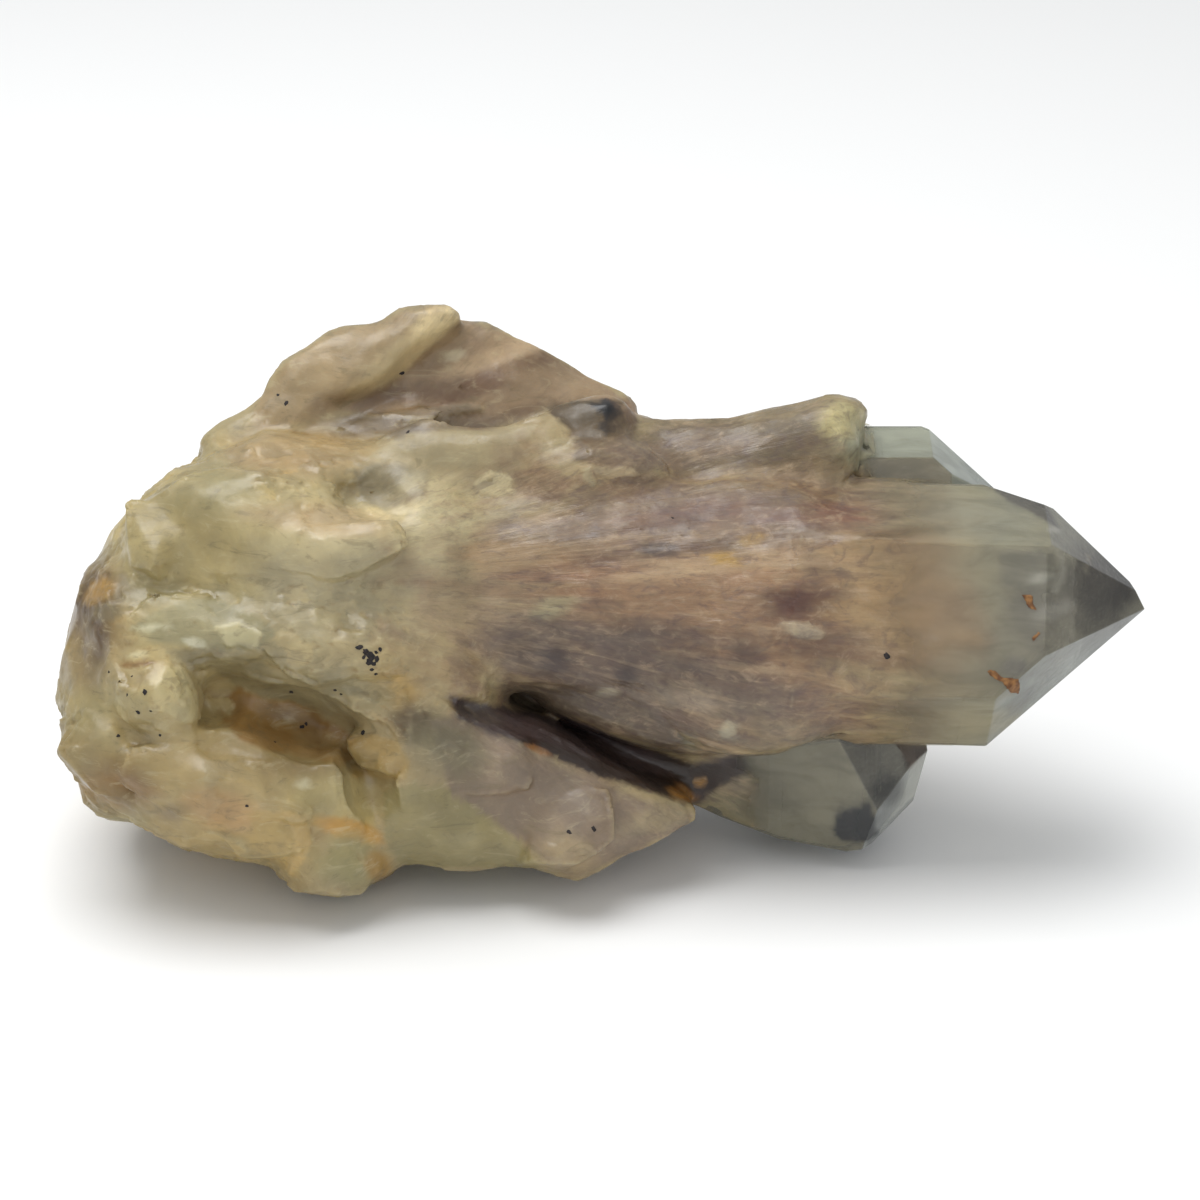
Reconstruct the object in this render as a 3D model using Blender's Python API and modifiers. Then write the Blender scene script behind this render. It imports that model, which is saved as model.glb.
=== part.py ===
"""A cluster of smoky yellow quartz crystals grown together, as it lies on a table.

The specimen is first modelled as it is shown: x along its length, up, and out
towards the viewer, all in millimetres. It is then leant back to the way it rests.
"""

import math
import random

import bmesh
import bpy
from mathutils import Matrix, Vector, noise

MM = 0.001

# Rest pose: how far the shown side leans back, and where the table cuts the lowest bumps.
LEAN_DEG = 25.0
TABLE_BELOW_CENTRE = 36.3
TABLE_BLOCK = (400.0, 400.0, 100.0)

# Quartz: the tip faces stand at 38.2 degrees to the long axis.
TIP_FACE_ANGLE = math.radians(38.2)
PRISM_SIDES = 6

# A crystal is cut from a round bar so much wider than its widest face, and laid along X.
CRYSTAL_BLANK = 2.5
LAY_DOWN = Matrix(((0.0, 0.0, 1.0, 0.0), (0.0, -1.0, 0.0, 0.0), (1.0, 0.0, 0.0, 0.0), (0.0, 0.0, 0.0, 1.0)))

# Grain of the broken surface.
CARVE_VOXEL = 0.9
BODY_FACES_KEPT = 7000
SURFACE_RELIEF = 0.45
SEED = 11

# The big crystal: tip, axis and the distance of each prism face from the axis.
MAIN_TIP = (75.0, -1.0, 4.0)
MAIN_AXIS_DROP_DEG = 1.5
MAIN_LENGTH = 48.0
MAIN_FACES = (11.6, 12.6, 15.9, 12.6, 17.3, 16.9)
MAIN_TIP_SHIFT = (0.0, 1.8, 1.8, 1.5, 0.6, 0.3)
MAIN_NOSE_SLOPE_DEG = 61.0
MAIN_SHOULDER = (62.0, 12.8, -2.0)
MAIN_SHOULDER_SLOPE_DEG = 20.0

# The crystal that stands behind it at the upper right.
REAR_TIP = (58.4, 13.3, -9.0)
REAR_LENGTH = 40.0
REAR_FACES = (7.4, 9.4, 10.2, 7.4, 9.0, 9.0)

# The crystal below it at the lower right points partly at the viewer, so its faces go through corners.
LOWER_HEART = (30.0, -24.0, -8.0)
LOWER_CORNERS = {
    "tip": (43.3, -22.9, 0.0),
    "front top": (35.4, -23.8, 3.5),
    "front low": (38.4, -29.2, 1.5),
    "root": (13.9, -24.0, -2.0),
    "shoulder": (42.0, -20.8, 0.7),
    "crest": (45.7, -20.9, -2.2),
    "foot": (38.2, -33.9, -4.0),
    "sole left": (13.0, -29.3, -3.0),
    "sole middle": (24.0, -33.5, -2.0),
    "sole right": (34.5, -35.2, -2.0),
    "sole back": (30.0, -32.5, -17.0),
    "back low": (30.0, -28.0, -20.0),
    "back top": (40.0, -14.0, -16.0),
    "back root": (10.0, -18.0, -18.0),
    "roof": (40.0, -13.0, -6.0),
    "roof root": (10.0, -12.0, -8.0),
    "heel": (42.0, -26.0, -14.0),
}
LOWER_FACES = (
    ("front top", "front low", "root"),
    ("front top", "front low", "tip"),
    ("front low", "tip", "foot"),
    ("tip", "shoulder", "crest"),
    ("sole left", "sole middle", "sole back"),
    ("sole middle", "sole right", "sole back"),
    ("sole right", "foot", "sole back"),
    ("back low", "back top", "back root"),
    ("sole back", "back low", "back root"),
    ("crest", "heel", "back top"),
    ("foot", "heel", "back low"),
    ("roof", "roof root", "back top"),
)

# Crystals on the back, hidden from the front: tip, length, prism faces, drop and turn in degrees.
BACK_CRYSTALS = (
    ((38.0, 2.0, -25.0), 44.0, (8.0, 8.6, 8.0, 7.4, 8.2, 8.6), 4.0, 11.0),
    ((10.0, 23.0, -23.0), 38.0, (6.2, 6.8, 6.4, 6.0, 6.6, 6.4), -12.0, 16.0),
    ((24.0, -13.0, -24.0), 34.0, (5.4, 5.0, 5.2, 5.0, 5.6, 5.2), 12.0, 18.0),
    ((-2.0, 8.0, -35.0), 30.0, (5.0, 5.6, 4.8, 5.2, 5.0, 5.4), -3.0, 30.0),
    ((-32.0, 24.0, -29.0), 26.0, (4.4, 4.8, 4.2, 4.6, 4.4, 4.2), -32.0, 44.0),
)

# Outline of the left root, seen from the front, anticlockwise from its lower left corner.
ROOT_OUTLINE = (
    (-68.2, -30.0),
    (-56.0, -31.0),
    (-46.0, -34.6),
    (-33.0, -36.0),
    (-22.0, -32.0),
    (-14.0, -20.0),
    (-14.0, 10.0),
    (-24.0, 18.5),
    (-46.0, 22.0),
    (-57.0, 17.4),
    (-62.6, 14.2),
    (-66.2, 9.2),
    (-69.8, 3.0),
    (-73.0, -6.0),
    (-74.0, -15.0),
    (-71.0, -24.0),
)

# Lumps of the root: centre, radii (x, up, out) and turn in degrees.
ROOT_LUMPS = (
    ((-50.0, 6.0, 10.0), (19.0, 13.0, 14.0), -12.0),
    ((-60.5, -7.0, 8.0), (13.5, 13.0, 15.0), -20.0),
    ((-38.0, 3.0, 11.0), (21.0, 12.0, 12.0), -14.0),
    ((-64.0, -17.6, 6.0), (9.5, 11.0, 14.0), 10.0),
    ((-50.0, -27.0, 9.0), (21.0, 8.5, 13.0), 12.0),
    ((-37.0, -33.5, 5.0), (10.5, 9.0, 12.0), 20.0),
    ((-57.0, 5.0, -10.0), (12.0, 12.0, 15.0), 0.0),
    ((-50.0, -14.0, -14.0), (23.0, 19.0, 17.0), 15.0),
    ((-30.0, 6.0, -14.0), (23.0, 16.0, 15.0), -8.0),
    ((-56.0, -22.0, -8.0), (14.0, 10.0, 15.0), 0.0),
    ((-57.0, -5.0, 17.0), (9.0, 5.0, 6.0), -18.0),
    ((-47.0, -4.0, 18.0), (9.0, 5.0, 6.0), 10.0),
    ((-41.0, 10.0, 15.0), (12.0, 6.0, 7.0), -10.0),
    ((-56.0, -17.0, 17.0), (7.0, 6.0, 6.0), 30.0),
    ((-65.0, -24.6, 8.0), (6.5, 6.6, 8.0), 0.0),
    ((-30.0, -6.0, 16.0), (11.0, 6.0, 6.0), 14.0),
)

# The streaky middle: a stout rough crystal, widest where the clear one begins.
TRUNK_SIDES = 14
TRUNK_HALF_UP = 18.6
TRUNK_HALF_OUT = 12.6
TRUNK_CENTRE = (0.4, 4.5)
TRUNK_DROP_DEG = 3.0
TRUNK_STATIONS = ((-42.0, 0.62), (27.0, 0.93), (46.0, 0.62))
TRUNK_BELLY = ((20.0, -4.0, 5.0), (21.0, 18.3, 11.6))

# The raised streaks on it: how many, the sector they cover, their sizes and how deep they sit.
STREAKS = 30
STREAK_SECTOR_DEG = (-62.0, 90.0)
STREAK_START = (-38.0, 4.0)
STREAK_REACH = (22.0, 40.0)
STREAK_WIDTH = (3.2, 5.6)
STREAK_DEPTH = (2.4, 3.8)
STREAK_SINK = 0.9
STREAK_LAST_X = 40.0

# The pale plate that stands up at the top left.
PEACH_OUTLINE = (
    (-56.0, 15.6),
    (-54.6, 22.6),
    (-47.6, 26.8),
    (-43.6, 32.6),
    (-36.2, 37.4),
    (-30.4, 37.6),
    (-26.4, 39.6),
    (-21.0, 40.4),
    (-18.2, 38.2),
    (-24.0, 34.0),
    (-30.0, 29.0),
    (-38.0, 25.0),
    (-44.0, 17.0),
)

# The pink plate behind it.
PINK_OUTLINE = (
    (-46.0, 20.0),
    (-40.0, 30.0),
    (-24.0, 38.5),
    (-16.6, 38.6),
    (-5.6, 33.6),
    (0.8, 30.4),
    (5.4, 28.0),
    (3.0, 20.0),
    (-12.0, 14.0),
    (-34.0, 12.0),
)

# The brown ridge along the top of the big crystal.
RIDGE_OUTLINE = (
    (0.0, 18.0),
    (2.0, 26.5),
    (8.0, 24.8),
    (17.6, 24.8),
    (28.5, 27.2),
    (33.0, 27.9),
    (37.4, 26.4),
    (36.6, 23.6),
    (37.0, 19.0),
    (34.0, 14.0),
    (10.0, 10.0),
)

# The dark knob between the plates and the ridge, and the pale lobe left of it.
KNOB_OUTLINE = (
    (-16.0, 18.0),
    (-6.0, 26.0),
    (1.5, 28.0),
    (4.4, 26.0),
    (4.6, 22.0),
    (1.0, 18.0),
)
LOBE_OUTLINE = (
    (-32.0, 19.0),
    (-25.0, 23.5),
    (-13.0, 22.6),
    (-7.0, 24.4),
    (-3.6, 22.0),
    (-4.6, 17.6),
    (-16.0, 15.0),
    (-28.0, 16.0),
)

# The fin of flat-faced crystal along the lower left.
FLANGE_OUTLINE = (
    (-30.0, -14.0),
    (-24.0, -12.0),
    (-8.0, -16.5),
    (4.0, -23.6),
    (13.0, -27.6),
    (13.6, -30.2),
    (5.8, -33.8),
    (-3.4, -38.6),
    (-10.8, -35.8),
    (-21.0, -35.8),
    (-29.0, -34.0),
)

# A flat step standing proud of the fin.
FLANGE_STEP_OUTLINE = (
    (-24.0, -17.0),
    (-16.0, -16.0),
    (4.0, -26.5),
    (-4.0, -35.5),
    (-16.0, -33.0),
    (-23.0, -25.0),
)

# Plates: outline (x, up), how far out, thickness, rounding, nod and yaw in degrees.
PLATES = {
    "peach_plate": (PEACH_OUTLINE, -2.0, 11.0, 3.0, 14.0, -8.0),
    "pink_plate": (PINK_OUTLINE, -9.0, 13.0, 4.0, 10.0, 10.0),
    "ridge": (RIDGE_OUTLINE, -4.0, 17.0, 5.5, 8.0, -4.0),
    "knob": (KNOB_OUTLINE, 1.0, 12.0, 3.6, 10.0, -6.0),
    "lobe": (LOBE_OUTLINE, 5.0, 10.0, 3.4, 22.0, 0.0),
    "flange": (FLANGE_OUTLINE, 3.0, 15.0, 2.6, -10.0, 8.0),
    "flange_step": (FLANGE_STEP_OUTLINE, 8.6, 8.0, 1.6, -14.0, 14.0),
    "root_slab": (ROOT_OUTLINE, -1.0, 40.0, 11.0, 6.0, 0.0),
}

# The green lump at the fin's left end: centre and radii (x, up, out).
GREEN_LUMP = ((-19.0, -31.0, 6.0), (11.5, 6.4, 7.5))

# The low swelling that closes the gap between the knob, the ridge and the trunk.
RIDGE_FOOT = ((-1.0, 16.6, 5.5), (12.0, 5.6, 6.6))

# Thin blades: their far end's half width and their depth, as shares of the width.
BLADE_END = (0.12, 0.3)
BLADE_DEPTH_SHARE = 0.7

# Thin crystals lying along the foot of the plates: start, end and width.
TOP_BLADES = (
    ((-44.0, 21.0, 1.5), (-16.0, 26.6, 3.0), 5.2),
    ((-42.0, 23.0, 0.0), (-20.0, 26.0, 1.5), 5.6),
    ((-38.0, 18.0, 4.0), (-17.0, 24.5, 4.0), 4.8),
    ((-45.0, 16.0, 5.0), (-24.0, 21.0, 6.0), 6.0),
    ((-30.0, 14.0, 8.0), (-8.0, 19.0, 8.5), 5.0),
)

# Lumps of the back and the underside: centre, radii (x, up, out) and turn in degrees.
BACK_LUMPS = (
    ((-36.0, -20.0, -19.0), (24.0, 13.0, 14.0), 8.0),
    ((-6.0, -14.0, -15.0), (24.0, 13.0, 14.0), -6.0),
    ((-24.0, -2.0, -22.0), (24.0, 15.0, 12.0), 12.0),
    ((4.0, 4.0, -16.0), (22.0, 14.0, 12.0), -10.0),
    ((-44.0, 8.0, -20.0), (17.0, 14.0, 12.0), 0.0),
    ((12.0, -20.0, -10.0), (17.0, 9.0, 12.0), 10.0),
    ((-18.0, -27.0, -8.0), (18.0, 9.0, 12.0), 0.0),
)

# Flat-faced blocks that break out of the skin: centre, radii (x, up, out) and turn in degrees.
SHARDS = (
    ((-54.0, -4.6, 19.0), (11.0, 4.8, 6.0), 8.0),
    ((-58.6, 6.6, 14.0), (7.0, 8.0, 8.0), -10.0),
    ((-66.6, -0.4, 6.0), (4.4, 5.6, 9.0), 10.0),
    ((-69.0, -9.6, 3.0), (4.2, 6.0, 9.0), -14.0),
    ((-58.6, -13.0, 20.0), (5.4, 5.6, 6.0), 30.0),
    ((-66.0, -20.5, 13.0), (7.4, 6.6, 9.0), 12.0),
    ((-51.0, -24.8, 18.0), (16.5, 5.6, 7.0), 15.0),
    ((-45.5, -29.6, 13.0), (10.0, 6.6, 8.0), 24.0),
    ((-36.5, -34.2, 10.0), (7.6, 6.6, 8.0), -20.0),
    ((-27.6, -19.6, 14.0), (7.0, 6.0, 5.6), 34.0),
    ((-38.0, -6.0, 20.0), (14.0, 5.0, 5.0), 18.0),
    ((-48.0, 13.4, 15.0), (13.0, 5.0, 7.0), -6.0),
    ((-36.0, 6.0, 20.0), (11.0, 4.4, 5.0), -12.0),
    ((-17.0, -20.4, 12.0), (10.0, 5.0, 4.6), 20.0),
    ((-4.0, -32.0, 10.0), (8.0, 5.4, 4.6), -30.0),
    ((-56.0, 10.0, -20.0), (11.0, 8.0, 8.0), 20.0),
    ((-40.0, -8.0, -33.0), (15.0, 10.0, 6.0), -12.0),
    ((-62.0, -12.0, -22.0), (9.0, 10.0, 8.0), 8.0),
    ((-22.0, 10.0, -31.0), (12.0, 7.0, 6.0), 16.0),
    ((-44.0, -24.0, -26.0), (14.0, 7.0, 8.0), 10.0),
    ((-16.0, -16.0, -27.0), (14.0, 7.0, 6.0), -14.0),
    ((-33.0, 30.0, -8.0), (11.0, 5.0, 5.0), -26.0),
    ((6.0, 17.0, -20.0), (14.0, 5.6, 6.0), 6.0),
)

# Forms that are taken away: centre, radii (x, up, out), seed and turn in degrees.
CUTS = {
    "hollow": ((-40.0, -17.0, 20.0), (10.5, 5.4, 10.0), 120, 14.0),
    "hollow_left": ((-50.5, -13.4, 21.0), (6.5, 4.2, 8.5), 121, -20.0),
    "hollow_right": ((-31.0, -20.5, 17.0), (6.0, 4.6, 7.0), 129, 20.0),
    "cleft": ((-3.5, -19.4, 17.0), (20.0, 3.6, 9.0), 122, 19.0),
    "cleft_end": ((14.5, -25.8, 11.0), (8.5, 3.6, 9.5), 123, 10.0),
    "pocket": ((-31.0, 14.0, 17.0), (7.0, 3.8, 6.0), 124, 8.0),
    "left_crease": ((-64.0, -24.0, 20.0), (7.0, 2.8, 8.0), 125, 20.0),
    "rim_crease": ((-66.0, -3.0, 18.0), (3.4, 8.0, 6.0), 128, -12.0),
    "top_crease": ((-14.0, 25.8, 3.0), (11.0, 2.0, 6.0), 126, -10.0),
    "lower_crease": ((-30.0, -28.0, 18.0), (3.6, 8.0, 6.0), 130, -24.0),
    "back_notch": ((-16.0, 12.0, -34.0), (13.0, 6.0, 7.0), 127, 14.0),
}


def place(x, up, out):
    """A point given as it is shown, in metres with the viewer on -Y."""
    return Vector((x, -out, up)) * MM


def clear_scene():
    """Remove what the start-up file holds."""
    for old in list(bpy.data.objects):
        bpy.data.objects.remove(old, do_unlink=True)


def make_collection(name):
    """A collection linked to the scene."""
    collection = bpy.data.collections.new(name)
    bpy.context.scene.collection.children.link(collection)
    return collection


def add_object(name, mesh_bm, collection):
    """Turn a bmesh into an object of the collection."""
    bmesh.ops.recalc_face_normals(mesh_bm, faces=mesh_bm.faces)
    mesh = bpy.data.meshes.new(name)
    mesh_bm.to_mesh(mesh)
    mesh_bm.free()
    made = bpy.data.objects.new(name, mesh)
    collection.objects.link(made)
    return made


def slice_off(mesh_bm, point, normal):
    """Cut away what lies beyond a plane and close the cut with a flat face."""
    geometry = mesh_bm.verts[:] + mesh_bm.edges[:] + mesh_bm.faces[:]
    cut = bmesh.ops.bisect_plane(
        mesh_bm, geom=geometry, dist=1e-7, plane_co=point, plane_no=normal, clear_outer=True
    )
    rim = [part for part in cut["geom_cut"] if isinstance(part, bmesh.types.BMEdge)]
    if rim:
        bmesh.ops.holes_fill(mesh_bm, edges=rim)


def crystal(name, collection, tip, length, faces, tip_shift=(0.0,) * PRISM_SIDES, drop=0.0, turn=0.0):
    """A six-sided prism with a six-faced tip. Face 0 looks out, the next ones go round over the top."""
    blank_radius = CRYSTAL_BLANK * max(faces) * MM
    body = bmesh.new()
    bmesh.ops.create_cone(
        body, cap_ends=True, segments=24, radius1=blank_radius, radius2=blank_radius, depth=2 * length * MM
    )
    tip_slope = Vector((0.0, 0.0, math.sin(TIP_FACE_ANGLE)))
    for side in range(PRISM_SIDES):
        angle = 2.0 * math.pi * side / PRISM_SIDES
        outward = Vector((math.sin(angle), math.cos(angle), 0.0))
        slice_off(body, outward * faces[side] * MM, outward)
        tip_normal = outward * math.cos(TIP_FACE_ANGLE) + tip_slope
        slice_off(body, Vector((0.0, 0.0, tip_shift[side] * MM)), tip_normal)
    slice_off(body, Vector((0.0, 0.0, -length * MM)), Vector((0.0, 0.0, -1.0)))
    made = add_object(name, body, collection)
    swing = Matrix.Rotation(math.radians(drop), 4, "Y") @ Matrix.Rotation(math.radians(turn), 4, "Z")
    made.data.transform(Matrix.Translation(place(*tip)) @ swing @ LAY_DOWN)
    return made


def trim(made, point, normal):
    """Cut one more flat face on a finished form, in the shown directions."""
    body = bmesh.new()
    body.from_mesh(made.data)
    slice_off(body, place(*point), Vector((normal[0], -normal[2], normal[1])).normalized())
    body.to_mesh(made.data)
    body.free()


def faceted_gem(name, collection, heart, corners, faces, size):
    """A closed form whose flat faces each go through three named corners, around a point inside it."""
    body = bmesh.new()
    bmesh.ops.create_cube(body, size=size * MM)
    bmesh.ops.translate(body, verts=body.verts, vec=place(*heart))
    for names in faces:
        first, second, third = (place(*corners[corner]) for corner in names)
        normal = (second - first).cross(third - first).normalized()
        if normal.dot(place(*heart) - first) > 0.0:
            normal.negate()
        slice_off(body, first, normal)
    return add_object(name, body, collection)


def lump(name, collection, centre, radii, seed, chips=16, turn=0.0):
    """A broken lump: a rounded form with flat chips knocked off it."""
    rng = random.Random(seed)
    body = bmesh.new()
    bmesh.ops.create_icosphere(body, subdivisions=3, radius=1.0)
    for _ in range(chips):
        normal = Vector((rng.uniform(-1, 1), rng.uniform(-1, 1), rng.uniform(-1, 1))).normalized()
        slice_off(body, normal * rng.uniform(0.70, 0.93), normal)
    bmesh.ops.scale(body, verts=body.verts, vec=Vector((radii[0], radii[2], radii[1])) * MM)
    bmesh.ops.rotate(body, verts=body.verts, matrix=Matrix.Rotation(math.radians(turn), 3, "Y"))
    bmesh.ops.translate(body, verts=body.verts, vec=place(*centre))
    return add_object(name, body, collection)


def shard(name, collection, centre, radii, seed, turn=0.0, faces=15):
    """A broken block of quartz with nothing but flat faces, set evenly round it."""
    rng = random.Random(seed)
    body = bmesh.new()
    bmesh.ops.create_cube(body, size=2.4)
    spiral = math.pi * (3.0 - math.sqrt(5.0))
    for face in range(faces):
        height = 1.0 - 2.0 * (face + 0.5) / faces
        ring = math.sqrt(1.0 - height * height)
        wobble = Vector((rng.uniform(-0.3, 0.3), rng.uniform(-0.3, 0.3), rng.uniform(-0.3, 0.3)))
        normal = Vector((ring * math.cos(face * spiral), ring * math.sin(face * spiral), height)) + wobble
        normal.normalize()
        slice_off(body, normal * rng.uniform(0.68, 0.98), normal)
    bmesh.ops.scale(body, verts=body.verts, vec=Vector((radii[0], radii[2], radii[1])) * MM)
    bmesh.ops.rotate(body, verts=body.verts, matrix=Matrix.Rotation(math.radians(turn), 3, "Y"))
    bmesh.ops.translate(body, verts=body.verts, vec=place(*centre))
    return add_object(name, body, collection)


def plate(name, collection, outline, out, thickness, edge, nod=0.0, yaw=0.0):
    """A plate with a drawn outline and rounded edges. nod tips its top back, yaw its right side."""
    curve = bpy.data.curves.new(name, "CURVE")
    curve.dimensions = "2D"
    curve.fill_mode = "BOTH"
    curve.extrude = (thickness / 2 - edge) * MM
    curve.bevel_depth = edge * MM
    curve.bevel_resolution = 2
    curve.offset = -edge * MM
    spline = curve.splines.new("POLY")
    spline.points.add(len(outline) - 1)
    middle_x = sum(corner[0] for corner in outline) / len(outline)
    middle_up = sum(corner[1] for corner in outline) / len(outline)
    for target, corner in zip(spline.points, outline):
        target.co = ((corner[0] - middle_x) * MM, (corner[1] - middle_up) * MM, 0.0, 1.0)
    spline.use_cyclic_u = True
    drawn = bpy.data.objects.new(name, curve)
    collection.objects.link(drawn)
    bpy.context.view_layer.update()
    mesh = bpy.data.meshes.new_from_object(drawn.evaluated_get(bpy.context.evaluated_depsgraph_get()))
    bpy.data.objects.remove(drawn, do_unlink=True)
    body = bmesh.new()
    body.from_mesh(mesh)
    bpy.data.meshes.remove(mesh)
    bmesh.ops.remove_doubles(body, verts=body.verts, dist=1e-6)
    stand = Matrix.Rotation(math.radians(90.0), 4, "X")
    tip_back = Matrix.Rotation(math.radians(-nod), 4, "X") @ Matrix.Rotation(math.radians(yaw), 4, "Z")
    body.transform(Matrix.Translation(place(middle_x, middle_up, out)) @ tip_back @ stand)
    return add_object(name, body, collection)


def blade(name, collection, start, end, width, depth, seed):
    """A thin crystal blade between two points, six-sided and narrower at its far end."""
    rng = random.Random(seed)
    first = place(*start)
    last = place(*end)
    body = bmesh.new()
    length = (last - first).length
    end_width = rng.uniform(*BLADE_END)
    bmesh.ops.create_cone(
        body, cap_ends=True, segments=PRISM_SIDES, radius1=0.5, radius2=end_width, depth=length
    )
    bmesh.ops.scale(body, verts=body.verts, vec=Vector((width * MM, depth * MM, 1.0)))
    bmesh.ops.translate(body, verts=body.verts, vec=Vector((0.0, 0.0, length / 2)))
    along = (last - first).to_track_quat("Z", "X").to_matrix().to_4x4()
    spin = Matrix.Rotation(rng.uniform(0.0, math.pi), 4, "Z")
    body.transform(Matrix.Translation(first) @ along @ spin)
    return add_object(name, body, collection)


def add_plate(name, collection):
    """One of the named plates."""
    outline, out, thickness, edge, nod, yaw = PLATES[name]
    plate(name, collection, outline, out, thickness, edge, nod=nod, yaw=yaw)


def add_lumps(name, lumps, seed, collection):
    """A row of lumps, each with a seed of its own."""
    for index, (centre, radii, turn) in enumerate(lumps):
        lump(f"{name}_{index}", collection, centre, radii, seed=seed + index, turn=turn)


def root_mass(collection):
    """The broken left half: the milky root that the crystals grow from."""
    add_plate("root_slab", collection)
    add_lumps("root_lump", ROOT_LUMPS, SEED, collection)


def trunk_share(x):
    """Share of the trunk's full half sizes at a place along its length."""
    (start, share), *others = TRUNK_STATIONS
    for station, next_share in others:
        if x <= station:
            return share + (next_share - share) * (x - start) / (station - start)
        start, share = station, next_share
    return share


def trunk_point(x, angle, sink):
    """A point on the trunk, a given depth below its skin. The angle runs from out to up."""
    share = trunk_share(x)
    up = TRUNK_CENTRE[0] - x * math.tan(math.radians(TRUNK_DROP_DEG))
    return (
        x,
        up + (TRUNK_HALF_UP * share - sink) * math.sin(angle),
        TRUNK_CENTRE[1] + (TRUNK_HALF_OUT * share - sink) * math.cos(angle),
    )


def trunk(collection):
    """The streaky middle, with raised streaks that run along it and end in points."""
    first_x, last_x = TRUNK_STATIONS[0][0], TRUNK_STATIONS[-1][0]
    body = bmesh.new()
    bmesh.ops.create_cone(
        body, cap_ends=True, segments=TRUNK_SIDES, radius1=MM, radius2=MM, depth=(last_x - first_x) * MM
    )
    bmesh.ops.rotate(body, verts=body.verts, matrix=Matrix.Rotation(math.radians(90.0), 3, "Y"))
    bmesh.ops.translate(body, verts=body.verts, vec=place((first_x + last_x) / 2, 0.0, 0.0))
    along = Vector((1.0, 0.0, 0.0))
    for x, _ in TRUNK_STATIONS[1:-1]:
        geometry = body.verts[:] + body.edges[:] + body.faces[:]
        bmesh.ops.bisect_plane(body, geom=geometry, plane_co=place(x, 0.0, 0.0), plane_no=along)
    for corner in body.verts:
        around = math.atan2(corner.co.z, -corner.co.y)
        corner.co = place(*trunk_point(corner.co.x / MM, around, 0.0))
    add_object("trunk", body, collection)
    lump("trunk_belly", collection, *TRUNK_BELLY, seed=SEED + 40, chips=6)
    rng = random.Random(SEED)
    first_angle, last_angle = (math.radians(limit) for limit in STREAK_SECTOR_DEG)
    for index in range(STREAKS):
        angle = first_angle + (last_angle - first_angle) * (index + 0.5) / STREAKS
        start_x = rng.uniform(*STREAK_START)
        end_x = min(start_x + rng.uniform(*STREAK_REACH), STREAK_LAST_X)
        start = trunk_point(start_x, angle, STREAK_SINK)
        end = trunk_point(end_x, angle, STREAK_SINK)
        width = rng.uniform(*STREAK_WIDTH)
        blade(f"streak_{index}", collection, start, end, width, rng.uniform(*STREAK_DEPTH), SEED + index)


def upper_plates(collection):
    """The plates, blades and lobes along the top."""
    for name in ("peach_plate", "pink_plate", "ridge", "knob", "lobe"):
        add_plate(name, collection)
    for index, (start, end, width) in enumerate(TOP_BLADES):
        depth = BLADE_DEPTH_SHARE * width
        blade(f"top_blade_{index}", collection, start, end, width, depth, SEED + 60 + index)
    lump("ridge_foot", collection, *RIDGE_FOOT, seed=SEED + 81, chips=8, turn=4.0)


def lower_flange(collection):
    """The fin of flat-faced crystal along the lower left."""
    add_plate("flange", collection)
    add_plate("flange_step", collection)
    lump("green_lump", collection, *GREEN_LUMP, seed=SEED + 80, turn=-6.0)


def underside(collection):
    """What lies behind and below: the lumps that the specimen rests on and the back."""
    add_lumps("back_lump", BACK_LUMPS, SEED + 100, collection)


def guide(made):
    """Mark a form that shapes the specimen and is no part of it."""
    made.hide_render = True
    made.display_type = "WIRE"


def cutters(collection):
    """The forms that are taken away: the hollow, the dark cleft under the big crystal and the creases."""
    made = []
    for name, (centre, radii, seed, turn) in CUTS.items():
        made.append(lump(name, collection, centre, radii, seed=SEED + seed, turn=turn))
    for cutter in made:
        guide(cutter)
    return made


def evaluated_mesh(source):
    """The mesh an object has with its modifiers on."""
    bpy.context.view_layer.update()
    return bpy.data.meshes.new_from_object(source.evaluated_get(bpy.context.evaluated_depsgraph_get()))


def settle(source):
    """Make an object's modifiers part of its mesh."""
    mesh = evaluated_mesh(source)
    source.modifiers.clear()
    old = source.data
    source.data = mesh
    bpy.data.meshes.remove(old)


def join_forms(name, sources, collection):
    """One object that holds the meshes of several, which are removed."""
    body = bmesh.new()
    for source in sources:
        body.from_mesh(source.data)
        bpy.data.objects.remove(source, do_unlink=True)
    return add_object(name, body, collection)


def melt(target, voxel):
    """Fuse overlapping forms into one skin."""
    remesh = target.modifiers.new("fuse", "REMESH")
    remesh.mode = "VOXEL"
    remesh.voxel_size = voxel * MM
    settle(target)


def boolean(target, other, operation):
    """Join or cut with another closed form."""
    modifier = target.modifiers.new(other.name, "BOOLEAN")
    modifier.operation = operation
    modifier.object = other
    modifier.solver = "EXACT"
    settle(target)


def weather(target):
    """Give the broken skin its uneven, streaked relief."""
    body = bmesh.new()
    body.from_mesh(target.data)
    body.normal_update()
    moves = []
    for corner in body.verts:
        spot = corner.co / MM
        along = Vector((spot.x * 0.06, spot.y * 0.22, spot.z * 0.24))
        rise = noise.noise(along) * 1.5 + noise.noise(spot * 0.2) * 0.9 + noise.noise(spot * 0.45) * 0.5
        moves.append(corner.normal * rise * SURFACE_RELIEF * MM)
    for corner, move in zip(body.verts, moves):
        corner.co += move
    body.to_mesh(target.data)
    body.free()


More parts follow.
